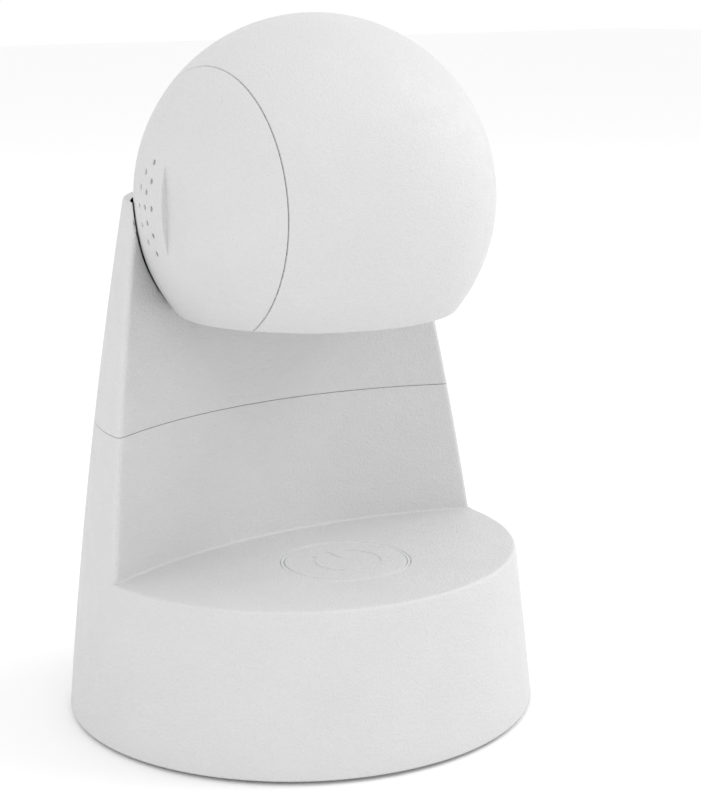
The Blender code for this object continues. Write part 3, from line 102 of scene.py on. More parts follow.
def rounded(corners: Sequence[tuple[float, float, float]], steps: int = 4) -> list[Point2]:
    """A closed outline whose corners are rounded.

    Args:
        corners: (across, along, radius) of each corner in order; radius 0 keeps it sharp.
        steps: stretches in each rounded corner.

    Returns:
        The outline's points.
    """
    points: list[Point2] = []
    count = len(corners)
    for i, (across, along, radius) in enumerate(corners):
        here = Vector((across, along))
        back = Vector(corners[i - 1][:2]) - here
        ahead = Vector(corners[(i + 1) % count][:2]) - here
        if radius <= 0 or back.length < 1e-9 or ahead.length < 1e-9:
            points.append((across, along))
            continue
        back.normalize()
        ahead.normalize()
        half = back.angle(ahead) / 2
        middle = here + (back + ahead).normalized() * radius / math.sin(half)
        first = here + back * radius / math.tan(half) - middle
        last = here + ahead * radius / math.tan(half) - middle
        swing = first.angle_signed(last)
        for j in range(steps + 1):
            spoke = first.copy()
            spoke.rotate(Matrix.Rotation(-swing * j / steps, 2))
            points.append(tuple(middle + spoke))
    return points


def finished_mesh(name: str, bm: bmesh.types.BMesh, outwards: bool = True) -> bpy.types.Object:
    """Turns a bmesh into an object at the origin.

    Args:
        name: the piece's name.
        bm: the shape, which is freed.
        outwards: whether to merge doubles and turn the faces outwards first.

    Returns:
        The new object.
    """
    if outwards:
        bmesh.ops.remove_doubles(bm, verts=bm.verts, dist=0.0005 * MM)
        bmesh.ops.dissolve_degenerate(bm, edges=bm.edges, dist=0.0005 * MM)
        bmesh.ops.recalc_face_normals(bm, faces=bm.faces)
    mesh = bpy.data.meshes.new(name)
    bm.to_mesh(mesh)
    bm.free()
    thing = bpy.data.objects.new(name, mesh)
    bpy.context.scene.collection.objects.link(thing)
    return thing


def turned(name: str, profile: Sequence[Point2], axis: Axis = Axis.Z, centre: Sequence[float] = (0, 0, 0),
           steps: int = 128, closed: bool = True) -> bpy.types.Object:
    """Spins a profile into a piece.

    Args:
        name: the piece's name.
        profile: points (radius, distance along the axis).
        axis: what the piece turns about.
        centre: where the profile's zero lies.
        steps: stretches round the piece.
        closed: whether the profile's last point joins its first.

    Returns:
        The turned piece.
    """
    bm = bmesh.new()
    verts = [bm.verts.new((radius, 0, along)) for radius, along in profile]
    pairs = zip(verts, verts[1:] + (verts[:1] if closed else []))
    edges = [bm.edges.new(pair) for pair in pairs]
    bmesh.ops.spin(bm, geom=verts + edges, cent=(0, 0, 0), axis=(0, 0, 1), angle=2 * math.pi,
                   steps=steps, use_merge=True)
    place = Matrix.Translation(centre) @ axis.value
    bmesh.ops.transform(bm, matrix=place, verts=bm.verts)
    return finished_mesh(name, bm)


def raised(name: str, outline: Sequence[Point2], low: float, high: float, axis: Axis = Axis.Z,
           centre: Sequence[float] = (0, 0, 0), edge: float = 0.0) -> bpy.types.Object:
    """Extrudes an outline into a piece, with its upper and lower edges rounded.

    Args:
        name: the piece's name.
        outline: points of the outline.
        low: start along the axis.
        high: end along the axis.
        axis: the direction of the extrusion.
        centre: where the outline's zero lies.
        edge: radius of the rounded edges.

    Returns:
        The raised piece.
    """
    bm = bmesh.new()
    face = bm.faces.new([bm.verts.new((x, y, low)) for x, y in outline])
    lifted = bmesh.ops.extrude_face_region(bm, geom=[face])["geom"]
    tops = [item for item in lifted if isinstance(item, bmesh.types.BMVert)]
    bmesh.ops.translate(bm, verts=tops, vec=(0, 0, high - low))
    bmesh.ops.recalc_face_normals(bm, faces=bm.faces)
    if edge:
        level = [e for e in bm.edges if abs(e.verts[0].co.z - e.verts[1].co.z) < 1e-9]
        bmesh.ops.bevel(bm, geom=level, offset=edge, segments=4, profile=0.5, affect="EDGES", material=-1)
    bmesh.ops.transform(bm, matrix=Matrix.Translation(centre) @ axis.value, verts=bm.verts)
    return finished_mesh(name, bm)


def grown(bm: bmesh.types.BMesh, ring: list[bmesh.types.BMVert],
          points: Sequence[Vector]) -> list[bmesh.types.BMVert]:
    """Extrudes a ring of vertices and lays the new ring on the given points.

    Args:
        bm: the shape.
        ring: the ring to extrude, in order.
        points: where each vertex of the new ring goes, in the same order.

    Returns:
        The new ring, in order.
    """
    edges = [bm.edges.get((a, b)) for a, b in zip(ring, ring[1:] + ring[:1])]
    made = bmesh.ops.extrude_edge_only(bm, edges=edges)["geom"]
    fresh = {item for item in made if isinstance(item, bmesh.types.BMVert)}
    new_ring = []
    for vert, point in zip(ring, points):
        partner = next(e.other_vert(vert) for e in vert.link_edges if e.other_vert(vert) in fresh)
        partner.co = point
        new_ring.append(partner)
    return new_ring


def first_ring(bm: bmesh.types.BMesh, points: Sequence[Vector]) -> list[bmesh.types.BMVert]:
    """A closed ring of vertices and edges on the points, capped by one face."""
    ring = [bm.verts.new(point) for point in points]
    bm.faces.new(ring)
    return ring


def skinned(name: str, rings: Sequence[Sequence[Vector]]) -> bpy.types.Object:
    """A closed piece whose skin runs through rings of points, with a face on both ends.

    Args:
        name: the piece's name.
        rings: the rings, which all have the same number of points.

    Returns:
        The piece.
    """
    bm = bmesh.new()
    ring = first_ring(bm, rings[0])
    for points in rings[1:]:
        ring = grown(bm, ring, points)
    bmesh.ops.contextual_create(bm, geom=[bm.edges.get((a, b)) for a, b in zip(ring, ring[1:] + ring[:1])])
    return finished_mesh(name, bm)


def baked(thing: bpy.types.Object) -> bpy.types.Object:
    """Makes a piece's modifiers part of its mesh."""
    bpy.context.view_layer.update()
    graph = bpy.context.evaluated_depsgraph_get()
    mesh = bpy.data.meshes.new_from_object(thing.evaluated_get(graph))
    thing.modifiers.clear()
    thing.data = mesh
    return thing


def carved(thing: bpy.types.Object, tools: Iterable[bpy.types.Object],
           cut: Cut = Cut.AWAY) -> bpy.types.Object:
    """Cuts tool shapes away from a piece, or joins them on, and removes the tools.

    Args:
        thing: the piece.
        tools: closed shapes.
        cut: whether they are cut away or joined on.

    Returns:
        The same piece.
    """
    for tool in list(tools):
        modifier = thing.modifiers.new("cut", "BOOLEAN")
        modifier.operation = cut.value
        modifier.solver = "EXACT"
        modifier.object = tool
        baked(thing)
        bpy.data.objects.remove(tool)
    return thing


def block(name: str, low: Vector, high: Vector, edge: float = 0.0) -> bpy.types.Object:
    """A box between two corners with rounded edges.

    Args:
        name: the object's name.
        low: the corner with the lowest coordinates.
        high: the corner with the highest coordinates.
        edge: size of the edges' rounding; 0 keeps them sharp.

    Returns:
        The box.
    """
    bm = bmesh.new()
    bmesh.ops.create_cube(bm, size=1.0)
    bmesh.ops.transform(bm, matrix=Matrix.Translation((low + high) / 2) @ Matrix.Diagonal((*(high - low), 1)),
                        verts=bm.verts)
    if edge:
        bmesh.ops.bevel(bm, geom=bm.edges[:], offset=edge, segments=4, profile=0.5, affect="EDGES",
                        material=-1)
    return finished_mesh(name, bm)


def smooth(thing: bpy.types.Object, crease: float = 35.0) -> bpy.types.Object:
    """Shades a piece smooth, except at its sharp edges.

    Args:
        thing: the piece.
        crease: angle in degrees above which an edge stays sharp.

    Returns:
        The same piece.
    """
    thing.data.shade_smooth()
    thing.data.set_sharp_from_angle(angle=math.radians(crease))
    return thing


# -------------------------------------------------------------------- materials


def linear(colour: str) -> tuple[float, float, float, float]:
    """Turns an sRGB hex colour into linear red, green, blue and alpha.

    Args:
        colour: six hex digits.

    Returns:
        The linear colour, opaque.
    """
    parts = [int(colour[i:i + 2], 16) / 255 for i in (0, 2, 4)]
    flat = [c / 12.92 if c <= 0.04045 else ((c + 0.055) / 1.055) ** 2.4 for c in parts]
    return (flat[0], flat[1], flat[2], 1.0)


def add_node(tree: bpy.types.NodeTree, kind: str, inputs: Optional[dict[Union[str, int], Value]] = None,
             **settings: object) -> bpy.types.Node:
    """Adds a node, sets it up and links it.

    Args:
        tree: the material's node tree.
        kind: the node's type.
        inputs: a number, colour or socket for each named or numbered input.
        settings: the node's own properties.

    Returns:
        The node.
    """
    made = tree.nodes.new(kind)
    for key, value in settings.items():
        setattr(made, key, value)
    for key, value in (inputs or {}).items():
        if isinstance(value, bpy.types.NodeSocket):
            tree.links.new(value, made.inputs[key])
        else:
            made.inputs[key].default_value = value
    return made


def ramp(tree: bpy.types.NodeTree, factor: bpy.types.NodeSocket,
         stops: Sequence[tuple[float, tuple[float, float, float, float]]]) -> bpy.types.NodeSocket:
    """Colours a value by a ramp.

    Args:
        tree: the material's node tree.
        factor: the value to colour.
        stops: (place, colour) of each stop in order.

    Returns:
        The colour's socket.
    """
    made = add_node(tree, "ShaderNodeValToRGB", {"Fac": factor})
    elements = made.color_ramp.elements
    while len(elements) < len(stops):
        elements.new(0.5)
    for element, (place, colour) in zip(elements, stops):
        element.position = place
        element.color = colour
    return made.outputs["Color"]


@dataclass(frozen=True)
class Finish:
    """A plain surface: what every finish has.

    Attributes:
        name: the material's name.
        colour: sRGB hex colour.
        roughness: microscopic roughness of the bare surface.
        slot: the record's material slot.
        grain: spacing of the surface's texture, in millimetres.
        depth: height of the texture, in millimetres.
        shade: share by which the colour darkens and lightens over the surface.
        metallic: 1 for a metal.
        ior: index of refraction.
        coat: weight of a clear layer.
        transmission: share of light that goes through.
    """

    name: str
    colour: str
    roughness: float
    slot: str
    grain: float = 0.5
    depth: float = 0.01
    shade: float = 0.02
    metallic: float = 0.0
    ior: float = 1.5
    coat: float = 0.0
    transmission: float = 0.0

    def place(self, tree: bpy.types.NodeTree) -> bpy.types.NodeSocket:
        """The piece's own coordinates, in metres."""
        return add_node(tree, "ShaderNodeTexCoord").outputs["Object"]

    def height(self, tree: bpy.types.NodeTree, place: bpy.types.NodeSocket) -> bpy.types.NodeSocket:
        """Relief of the surface: a grain with some of it coarser."""
        fine = add_node(tree, "ShaderNodeTexNoise",
                        {"Vector": place, "Scale": 1 / (self.grain * MM), "Detail": 2.0, "Roughness": 0.55})
        return fine.outputs["Fac"]

    def tint(self, tree: bpy.types.NodeTree, place: bpy.types.NodeSocket) -> bpy.types.NodeSocket:
        """The colour, slightly uneven from place to place."""
        cloud = add_node(tree, "ShaderNodeTexNoise",
                         {"Vector": place, "Scale": 1 / (24 * self.grain * MM), "Detail": 3.0})
        red, green, blue, _ = linear(self.colour)
        low = tuple(c * (1 - self.shade) for c in (red, green, blue)) + (1.0,)
        high = tuple(min(1.0, c * (1 + self.shade)) for c in (red, green, blue)) + (1.0,)
        return ramp(tree, cloud.outputs["Fac"], ((0.3, low), (0.7, high)))

    def gloss(self, tree: bpy.types.NodeTree, place: bpy.types.NodeSocket) -> bpy.types.NodeSocket:
        """Roughness that varies a little, as handled and moulded surfaces do."""
        patch = add_node(tree, "ShaderNodeTexNoise",
                         {"Vector": place, "Scale": 1 / (9 * self.grain * MM), "Detail": 3.0})
        spread = 0.06 + 0.1 * self.roughness
        band = add_node(tree, "ShaderNodeMapRange",
                        {"Value": patch.outputs["Fac"], "From Min": 0.3, "From Max": 0.7,
                         "To Min": max(0.0, self.roughness - spread),
                         "To Max": min(1.0, self.roughness + spread)})
        return band.outputs["Result"]

    def material(self) -> bpy.types.Material:
        """Builds the material, or returns the one already built under this name."""
        if self.name in bpy.data.materials:
            return bpy.data.materials[self.name]
        made = bpy.data.materials.new(self.name)
        made.use_nodes = True
        tree = made.node_tree
        shader = tree.nodes["Principled BSDF"]
        place = self.place(tree)
        bump = add_node(tree, "ShaderNodeBump", {"Height": self.height(tree, place), "Strength": 1.0,
                                                 "Distance": self.depth * MM})
        tree.links.new(self.tint(tree, place), shader.inputs["Base Color"])
        tree.links.new(self.gloss(tree, place), shader.inputs["Roughness"])
        tree.links.new(bump.outputs["Normal"], shader.inputs["Normal"])
        shader.inputs["Metallic"].default_value = self.metallic
        if not self.metallic:
            shader.inputs["IOR"].default_value = self.ior
        shader.inputs["Coat Weight"].default_value = self.coat
        shader.inputs["Coat Roughness"].default_value = 0.05
        shader.inputs["Transmission Weight"].default_value = self.transmission
        self.extras(shader)
        return made

    def extras(self, shader: bpy.types.Node) -> None:
        """Settings that only some finishes have."""


@dataclass(frozen=True)
class SparkEroded(Finish):
    """ABS moulded in a spark-eroded tool: a fine, even, slightly blistered grain."""

    def height(self, tree: bpy.types.NodeTree, place: bpy.types.NodeSocket) -> bpy.types.NodeSocket:
        """Small rounded pits, with finer noise between them."""
        pits = add_node(tree, "ShaderNodeTexVoronoi", {"Vector": place, "Scale": 1 / (self.grain * MM)},
                        feature="SMOOTH_F1")
        fine = add_node(tree, "ShaderNodeTexNoise",
                        {"Vector": place, "Scale": 1.7 / (self.grain * MM), "Detail": 2.0})
        both = add_node(tree, "ShaderNodeMath", {0: pits.outputs["Distance"], 1: fine.outputs["Fac"]},
                        operation="ADD")
        return both.outputs["Value"]


@dataclass(frozen=True)
class Brushed(Finish):
    """Sheet metal with marks that run one way."""

    def height(self, tree: bpy.types.NodeTree, place: bpy.types.NodeSocket) -> bpy.types.NodeSocket:
        """Long thin scratches along X."""
        stretched = add_node(tree, "ShaderNodeMapping", {"Vector": place, "Scale": (0.04, 1.0, 1.0)})
        marks = add_node(tree, "ShaderNodeTexNoise",
                         {"Vector": stretched.outputs["Vector"], "Scale": 1 / (self.grain * MM),
                          "Detail": 4.0})
        return marks.outputs["Fac"]


@dataclass(frozen=True)
class SolderMask(Finish):
    """A printed circuit board: green lacquer over raised copper tracks, with tinned pads."""

    track: str = "1F6B3C"
    pad: str = "C9CCC8"

    def cells(self, tree: bpy.types.NodeTree, place: bpy.types.NodeSocket) -> bpy.types.NodeSocket:
        """Straight tracks as the edges of square cells."""
        tracks = add_node(tree, "ShaderNodeTexBrick",
                          {"Vector": place, "Scale": 1 / (8 * self.grain * MM), "Mortar Size": 0.03,
                           "Brick Width": 0.9, "Row Height": 0.4, "Color1": (0, 0, 0, 1),
                           "Color2": (0, 0, 0, 1), "Mortar": (1, 1, 1, 1)})
        return tracks.outputs["Color"]

    def height(self, tree: bpy.types.NodeTree, place: bpy.types.NodeSocket) -> bpy.types.NodeSocket:
        """The tracks stand a little proud."""
        return self.cells(tree, place)

    def tint(self, tree: bpy.types.NodeTree, place: bpy.types.NodeSocket) -> bpy.types.NodeSocket:
        """Green lacquer, lighter over the tracks, with round tinned pads."""
        lacquer = add_node(tree, "ShaderNodeMix", {"Factor": self.cells(tree, place), 6: linear(self.colour),
                                                   7: linear(self.track)}, data_type="RGBA")
        dots = add_node(tree, "ShaderNodeTexVoronoi", {"Vector": place, "Scale": 1 / (5 * self.grain * MM)})
        pads = add_node(tree, "ShaderNodeMath", {0: dots.outputs["Distance"], 1: 0.2}, operation="LESS_THAN")
        mixed = add_node(tree, "ShaderNodeMix", {"Factor": pads.outputs["Value"], 6: lacquer.outputs[2],
                                                 7: linear(self.pad)}, data_type="RGBA")
        return mixed.outputs[2]


@dataclass(frozen=True)
class CoatedGlass(Finish):
    """A lens with an anti-reflection coating, which reflects violet and green."""

    film: float = 390.0

    def extras(self, shader: bpy.types.Node) -> None:
        """A thin film gives the coating's coloured reflection."""
        shader.inputs["Thin Film Thickness"].default_value = self.film
        shader.inputs["Thin Film IOR"].default_value = 1.38


@dataclass(frozen=True)
class MilkyGuide(Finish):
    """Opal acrylic that spreads the light of the lamps under it."""

    def extras(self, shader: bpy.types.Node) -> None:
        """Light scatters a short way into the opal plastic."""
        shader.inputs["Subsurface Weight"].default_value = 0.35
        shader.inputs["Subsurface Radius"].default_value = (0.6 * MM, 0.6 * MM, 0.6 * MM)
        shader.inputs["Subsurface Scale"].default_value = 1.0


@dataclass(frozen=True)
class TrackedFilm(Finish):
    """Amber polyimide film with copper tracks along its length."""

    copper: str = "B4713A"

    def tint(self, tree: bpy.types.NodeTree, place: bpy.types.NodeSocket) -> bpy.types.NodeSocket:
        """Amber film and copper stripes, side by side across X."""
        stripes = add_node(tree, "ShaderNodeTexWave",
                           {"Vector": place, "Scale": 0.314 / (self.grain * MM)}, bands_direction="X")
        mixed = add_node(tree, "ShaderNodeMix", {"Factor": stripes.outputs["Fac"], 6: linear(self.colour),
                                                 7: linear(self.copper)}, data_type="RGBA")
        return mixed.outputs[2]


# White ABS with a spark-eroded grain: matte, soft wide highlights, faint sparkle of the grain. The real
# grain is about 0.15 mm and is drawn at about 0.4 mm, so that it shows.
WHITE_ABS = SparkEroded("white_abs_spark_eroded", "CFCFCF", 0.55, "white_plastic", grain=0.42, depth=0.09,
                        shade=0.012, ior=1.46)
# Opal acrylic light guide: a smoother, glossier and slightly cooler white than the shells around it.
OPAL_ACRYLIC = MilkyGuide("opal_acrylic_moulded", "D2D3D4", 0.4, "light_guide", grain=0.4, depth=0.003)
# Black ABS with a fine grain: nearly dead matte, so the lens's surround shows no glare.
BLACK_ABS = SparkEroded("black_abs_spark_eroded", "17181A", 0.5, "black_plastic", grain=0.3, depth=0.012,
                        shade=0.08, ior=1.46)
# Polished black acrylic that passes infrared: mirror gloss over deep black.
BLACK_ACRYLIC = Finish("black_acrylic_polished", "050507", 0.05, "black_acrylic", grain=2.0, depth=0.0006,
                       shade=0.2, coat=0.6, ior=1.49)
# Grey glass-filled nylon: satin, with flow marks.
GREY_NYLON = SparkEroded("grey_nylon_moulded", "949599", 0.5, "grey_plastic", grain=0.5, depth=0.01,
                         shade=0.05)
# Natural acetal: waxy off-white with a soft sheen.
ACETAL = Finish("acetal_natural", "E0DED8", 0.36, "acetal", grain=0.7, depth=0.004, shade=0.03, ior=1.48)
# Silicone rubber: dull and dusty black.
RUBBER = Finish("silicone_rubber_moulded", "3A3A3B", 0.8, "rubber", grain=0.25, depth=0.02, shade=0.1,
                ior=1.41)
# Bright stainless steel with drawing marks.
STEEL = Brushed("stainless_steel_drawn", "C8C8CA", 0.28, "steel", grain=0.08, depth=0.002, shade=0.04,
                metallic=1.0)
# Zinc-plated steel: bluish, cloudy and a little rougher.
ZINC = Finish("zinc_plated_steel", "B9BEC4", 0.38, "zinc_plate", grain=0.5, depth=0.004, shade=0.1,
              metallic=1.0)
# Green solder mask over copper tracks.
BOARD = SolderMask("solder_mask_green", "0E4A24", 0.35, "circuit_board", grain=0.25, depth=0.03, ior=1.55)
# Clear crown glass of the front element.
CLEAR_GLASS = CoatedGlass("crown_glass_coated", "F2F4FA", 0.02, "lens_glass", grain=3.0, depth=0.0001,
                          shade=0.0, ior=1.52, transmission=1.0)
# Inner element: a dark, strongly coated lens that gives the violet glint in the throat.
INNER_GLASS = CoatedGlass("flint_glass_coated", "14101F", 0.04, "lens_glass", grain=3.0, depth=0.0001,
                          shade=0.0, ior=1.7, coat=1.0, film=460.0)
# Smoky epoxy of an infrared lamp.
EPOXY = Finish("smoky_epoxy_cast", "4A4450", 0.1, "led_epoxy", grain=1.0, depth=0.001, transmission=0.6,
               ior=1.56)
# Amber polyimide film with copper tracks.
FILM = TrackedFilm("polyimide_film_tracked", "8A4B10", 0.35, "flex_film", grain=0.5, depth=0.004)


def dressed(thing: bpy.types.Object, finish: Finish, body: str, *nodes: str) -> bpy.types.Object:
    """Gives a new piece its finish, its body and the nodes that it stands for.

    Args:
        thing: the piece.
        finish: its surface.
        body: the body it moves with.
        nodes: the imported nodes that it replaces.

    Returns:
        The same piece.
    """
    thing.data.materials.clear()
    thing.data.materials.append(finish.material())
    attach(thing, body)
    if nodes:
        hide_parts(*nodes)
    LOG.info("%s: %d faces, %s, on %s", thing.name, len(thing.data.polygons), finish.name, body)
    return thing


# ----------------------------------------------------------------------- places


@dataclass(frozen=True)
class Places:
    """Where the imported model's pieces lie, read from its nodes.

    Attributes:
        base_low: underside of the housing.
        plate: height of the flat plate.
        seam_high: underside of the upper column.
        column_top: top of the column.
        head: middle of the ball.
        head_bottom: height of the ball's flat.
        eye: middle of the eyeball.
        button: middle of the button's face.
    """

    base_low: float
    plate: float
    seam_high: float
    column_top: float
    head: Vector
    head_bottom: float
    eye: Vector
    button: Vector

    @classmethod
    def read(cls, ball_radius: float, eye_setback: float, eye_radius: float) -> "Places":
        """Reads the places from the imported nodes.

        Args:
            ball_radius: radius of the ball, whose top gives its middle.
            eye_setback: how far the eyeball stands back from the ball's outline.
            eye_radius: radius of the eyeball.

        Returns:
            The places.
        """
        housing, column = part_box("base_housing"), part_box("upper_column")
        shell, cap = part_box("head_shell"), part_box("call_button")
        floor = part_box("head_floor")
        middle_y = (floor[0].y + floor[1].y) / 2
        head = Vector((0, middle_y, shell[1].z - ball_radius))
        return cls(
            base_low=housing[0].z,
            plate=cap[1].z,
            seam_high=column[0].z,
            column_top=column[1].z,
            head=head,
            head_bottom=floor[0].z,
            eye=head + Vector((ball_radius - eye_setback - eye_radius, 0, 0)),
            button=Vector((0, (cap[0].y + cap[1].y) / 2, cap[1].z)),
        )


# ------------------------------------------------------------------------ stand


@dataclass
class Crescent:
    """Level outlines of the column: a round back, a hollow front and rounded tips."""

    places: Places
    base_radius: float = 45.0 * MM
    taper: float = 0.0917
    taper_growth: float = 0.471
    face_middle: float = 7.6 * MM
    face_depth: float = 9.6 * MM
    face_lean: float = 0.098
    tip_radius: float = 0.9 * MM
    back_steps: int = 180
    tip_steps: int = 8
    face_steps: int = 110

    def skin_radius(self, height: float) -> float:
        """Radius of the outer skin at a height."""
        return self.base_radius - self.taper * height - self.taper_growth * height * height

    def face(self, height: float) -> tuple[float, float]:
        """Middle y and radius of the hollow face at a height."""
        middle = self.face_middle + self.face_lean * (height - self.places.plate)
        tip = middle - self.face_depth
        half_chord = math.sqrt(self.skin_radius(height) ** 2 - tip**2)
        return middle, (half_chord**2 + self.face_depth**2) / (2 * self.face_depth)

    def tip(self, height: float) -> tuple[Vector, float, Vector]:
        """Middle of the right tip's rounding, the face's radius and the face's own middle."""
        middle, radius = self.face(height)
        centre = Vector((0, middle - radius))
        near, far = self.skin_radius(height) - self.tip_radius, radius + self.tip_radius
        y = (near**2 - far**2 + centre.y**2) / (2 * centre.y)
        return Vector((math.sqrt(near**2 - y**2), y)), radius, centre

    def outline(self, height: float, inset: float = 0.0, z: Optional[float] = None) -> list[Vector]:
        """Outline at a height, moved inwards by an inset.

        Args:
            height: the height whose sizes are used.
            inset: how far every side moves inwards.
            z: the height at which the points lie, if it is another one.

        Returns:
            The points, anticlockwise from the right tip round the back.
        """
        level = height if z is None else z
        tip, radius, centre = self.tip(height)
        skin, nose = self.skin_radius(height) - inset, self.tip_radius - inset
        side = math.atan2(tip.y, tip.x)
        front = math.atan2(centre.y - tip.y, centre.x - tip.x)
        swing = math.atan2(tip.x, tip.y - centre.y)
        left = Vector((-tip.x, tip.y))
        points = []
        for i in range(self.back_steps + 1):
            angle = side + (math.pi - 2 * side) * i / self.back_steps
            points.append(Vector((skin * math.cos(angle), skin * math.sin(angle), level)))
        for i in range(1, self.tip_steps + 1):
            angle = math.pi - side + (side - front) * i / self.tip_steps
            points.append(Vector((left.x + nose * math.cos(angle), left.y + nose * math.sin(angle), level)))
        for i in range(1, self.face_steps + 1):
            angle = -swing + 2 * swing * i / self.face_steps
            reach = radius + inset
            points.append(Vector((reach * math.sin(angle), centre.y + reach * math.cos(angle), level)))
        for i in range(1, self.tip_steps):
            angle = front + (side - front) * i / self.tip_steps
            points.append(Vector((tip.x + nose * math.cos(angle), tip.y + nose * math.sin(angle), level)))
        return points

    def drum_angles(self) -> list[float]:
        """Angle round the drum that goes with each point of the outline at the plate."""
        plate = self.places.plate
        tip, _, _ = self.tip(plate)
        side, nose = math.atan2(tip.y, tip.x), 1.2 * self.tip_radius / self.skin_radius(plate)
        left, right = math.pi - side + nose, 2 * math.pi + side - nose
        angles = [side + (math.pi - 2 * side) * i / self.back_steps for i in range(self.back_steps + 1)]
        angles += [left - nose + nose * i / self.tip_steps for i in range(1, self.tip_steps + 1)]
        angles += [left + (right - left) * i / self.face_steps for i in range(1, self.face_steps + 1)]
        angles += [right + nose * i / self.tip_steps for i in range(1, self.tip_steps)]
        return angles


@dataclass
class Stand:
    """The base's housing, the upper column, the feet and the power socket."""

    places: Places
    crescent: Crescent
    wall: float = 2.0 * MM
    bottom_edge: float = 0.5 * MM
    rim_edge: float = 0.6 * MM
    foot_fillet: float = 0.45 * MM
    seam_edge: float = 0.05 * MM
    seam_gap: float = 0.1 * MM
    top_edge: float = 0.4 * MM
    pocket_edge: float = 0.25 * MM
    support: float = 0.35 * MM
    pocket_radius: float = 33.36 * MM
    shelf: float = 2.6 * MM
    shelf_gap: float = 0.6 * MM
    shelf_half_width: float = 9.5 * MM
    button_hole: float = 12.24 * MM
    port_margin: float = 1.8 * MM
    socket_width: float = 8.9 * MM
    socket_height: float = 3.2 * MM
    socket_sheet: float = 0.35 * MM
    socket_length: float = 7.3 * MM

    def drum_ring(self, radius: Sequence[float], height: Sequence[float]) -> list[Vector]:
        """A ring round the drum with a radius and a height for each point.

        Args:
            radius: each point's distance from the axis.
            height: each point's height.

        Returns:
            The ring's points.
        """
        angles = self.crescent.drum_angles()
        return [Vector((r * math.cos(a), r * math.sin(a), z)) for a, r, z in zip(angles, radius, height)]

    def plain_ring(self, radius: float, height: float) -> list[Vector]:
        """A level circle round the drum.

        Args:
            radius: the circle's radius.
            height: the circle's height.

        Returns:
            The circle's points.
        """
        count = len(self.crescent.drum_angles())
        return self.drum_ring([radius] * count, [height] * count)

    def plate_shares(self) -> tuple[list[float], list[float]]:
        """How much of their rounding the rim and the column's foot have: less where the plate narrows.

        Returns:
            The rim's share and the foot's share at each point.
        """
        plate = self.places.plate
        radius, flush = self.crescent.skin_radius(plate), self.crescent.outline(plate)
        full = 1.2 * (self.rim_edge + self.foot_fillet + 2 * self.support)
        rims, feet = [], []
        for i, point in enumerate(self.plain_ring(radius, plate)):
            front = i > self.crescent.back_steps
            near = min((point - other).length for other in flush)
            rims.append(min(1.0, near / full) if front else 0.0)
            feet.append(max(0.0, min(1.0, (radius - flush[i].xy.length) / full)) if front else 0.0)
        return rims, feet

    def housing_rings(self) -> list[list[Vector]]:
        """Rings of the housing's skin, from its inner ceiling out and up to its web."""
        skin, plate, low = self.crescent.skin_radius, self.places.plate, self.places.base_low
        ceiling = plate - self.wall
        rings = [self.plain_ring(skin(z) - self.wall, z) for z in (ceiling, low)]
        for radius, height in arc_points(self.bottom_edge, math.pi, math.pi / 2, 5):
            level = low + self.bottom_edge + height
            rings.append(self.plain_ring(skin(level) - self.bottom_edge + radius, level))
        shares, _ = self.plate_shares()
        levels = 12
        for i in range(1, levels + 1):
            start = low + self.bottom_edge
            heights = [start + (plate - self.rim_edge * s - start) * i / levels for s in shares]
            rings.append(self.drum_ring([skin(z) for z in heights], heights))
        for i in range(1, 7):
            turn = math.pi / 2 * i / 6
            heights = [plate - self.rim_edge * s * (1 - math.sin(turn)) for s in shares]
            radii = [skin(z) - self.rim_edge * s * (1 - math.cos(turn)) for z, s in zip(heights, shares)]
            rings.append(self.drum_ring(radii, heights))
        inner = [skin(plate) - (self.rim_edge + self.support) * s for s in shares]
        rings.append(self.drum_ring(inner, [plate] * len(shares)))
        return rings + self.foot_rings()

    def foot_rings(self) -> list[list[Vector]]:
        """Rings of the column from its foot on the plate up to the seam."""
        plate, top = self.places.plate, self.places.seam_high - self.seam_gap
        _, shares = self.plate_shares()
        flush = self.crescent.outline(plate)
        turns = [math.pi / 2 * i / 5 for i in range(6)]
        moves = [(self.foot_fillet + self.support, 0.0)]
        moves += [(self.foot_fillet * (1 - math.sin(turn)), self.foot_fillet * (1 - math.cos(turn)))
                  for turn in turns]
        rings = []
        for out, up in moves:
            moved = self.crescent.outline(plate, -out)
            rings.append([f.lerp(m, s) + Vector((0, 0, up * s)) for f, m, s in zip(flush, moved, shares)])
        fillet_top = max(point.z for point in rings[-1])
        rings.append(self.crescent.outline(fillet_top + self.support))
        levels = 10
        rings += [self.crescent.outline(plate + (top - self.seam_edge - plate) * i / levels)
                  for i in range(2, levels + 1)]
        for turn in (math.pi / 6, math.pi / 3, math.pi / 2):
            inset = self.seam_edge * (1 - math.cos(turn))
            level = top - self.seam_edge * (1 - math.sin(turn))
            rings.append(self.crescent.outline(level, inset))
        rings.append(self.crescent.outline(top, self.seam_edge + self.support))
        return rings

    def column_rings(self) -> list[list[Vector]]:
        """Rings of the upper column's skin, from the seam to its flat top."""
        low, top = self.places.seam_high, self.places.column_top
        rings = [self.crescent.outline(low, self.seam_edge + self.support)]
        for turn in (math.pi / 2, math.pi / 3, math.pi / 6, 0.0):
            inset = self.seam_edge * (1 - math.cos(turn))
            rings.append(self.crescent.outline(low + self.seam_edge * (1 - math.sin(turn)), inset))
        levels = 26
        start, stop = low + self.seam_edge, top - self.top_edge
        rings += [self.crescent.outline(start + (stop - start) * i / levels) for i in range(1, levels + 1)]
        for i in range(1, 6):
            turn = math.pi / 2 * i / 5
            inset = self.top_edge * (1 - math.cos(turn))
            rings.append(self.crescent.outline(top - self.top_edge * (1 - math.sin(turn)), inset))
        rings.append(self.crescent.outline(top, self.top_edge + 0.3 * self.support))
        return rings

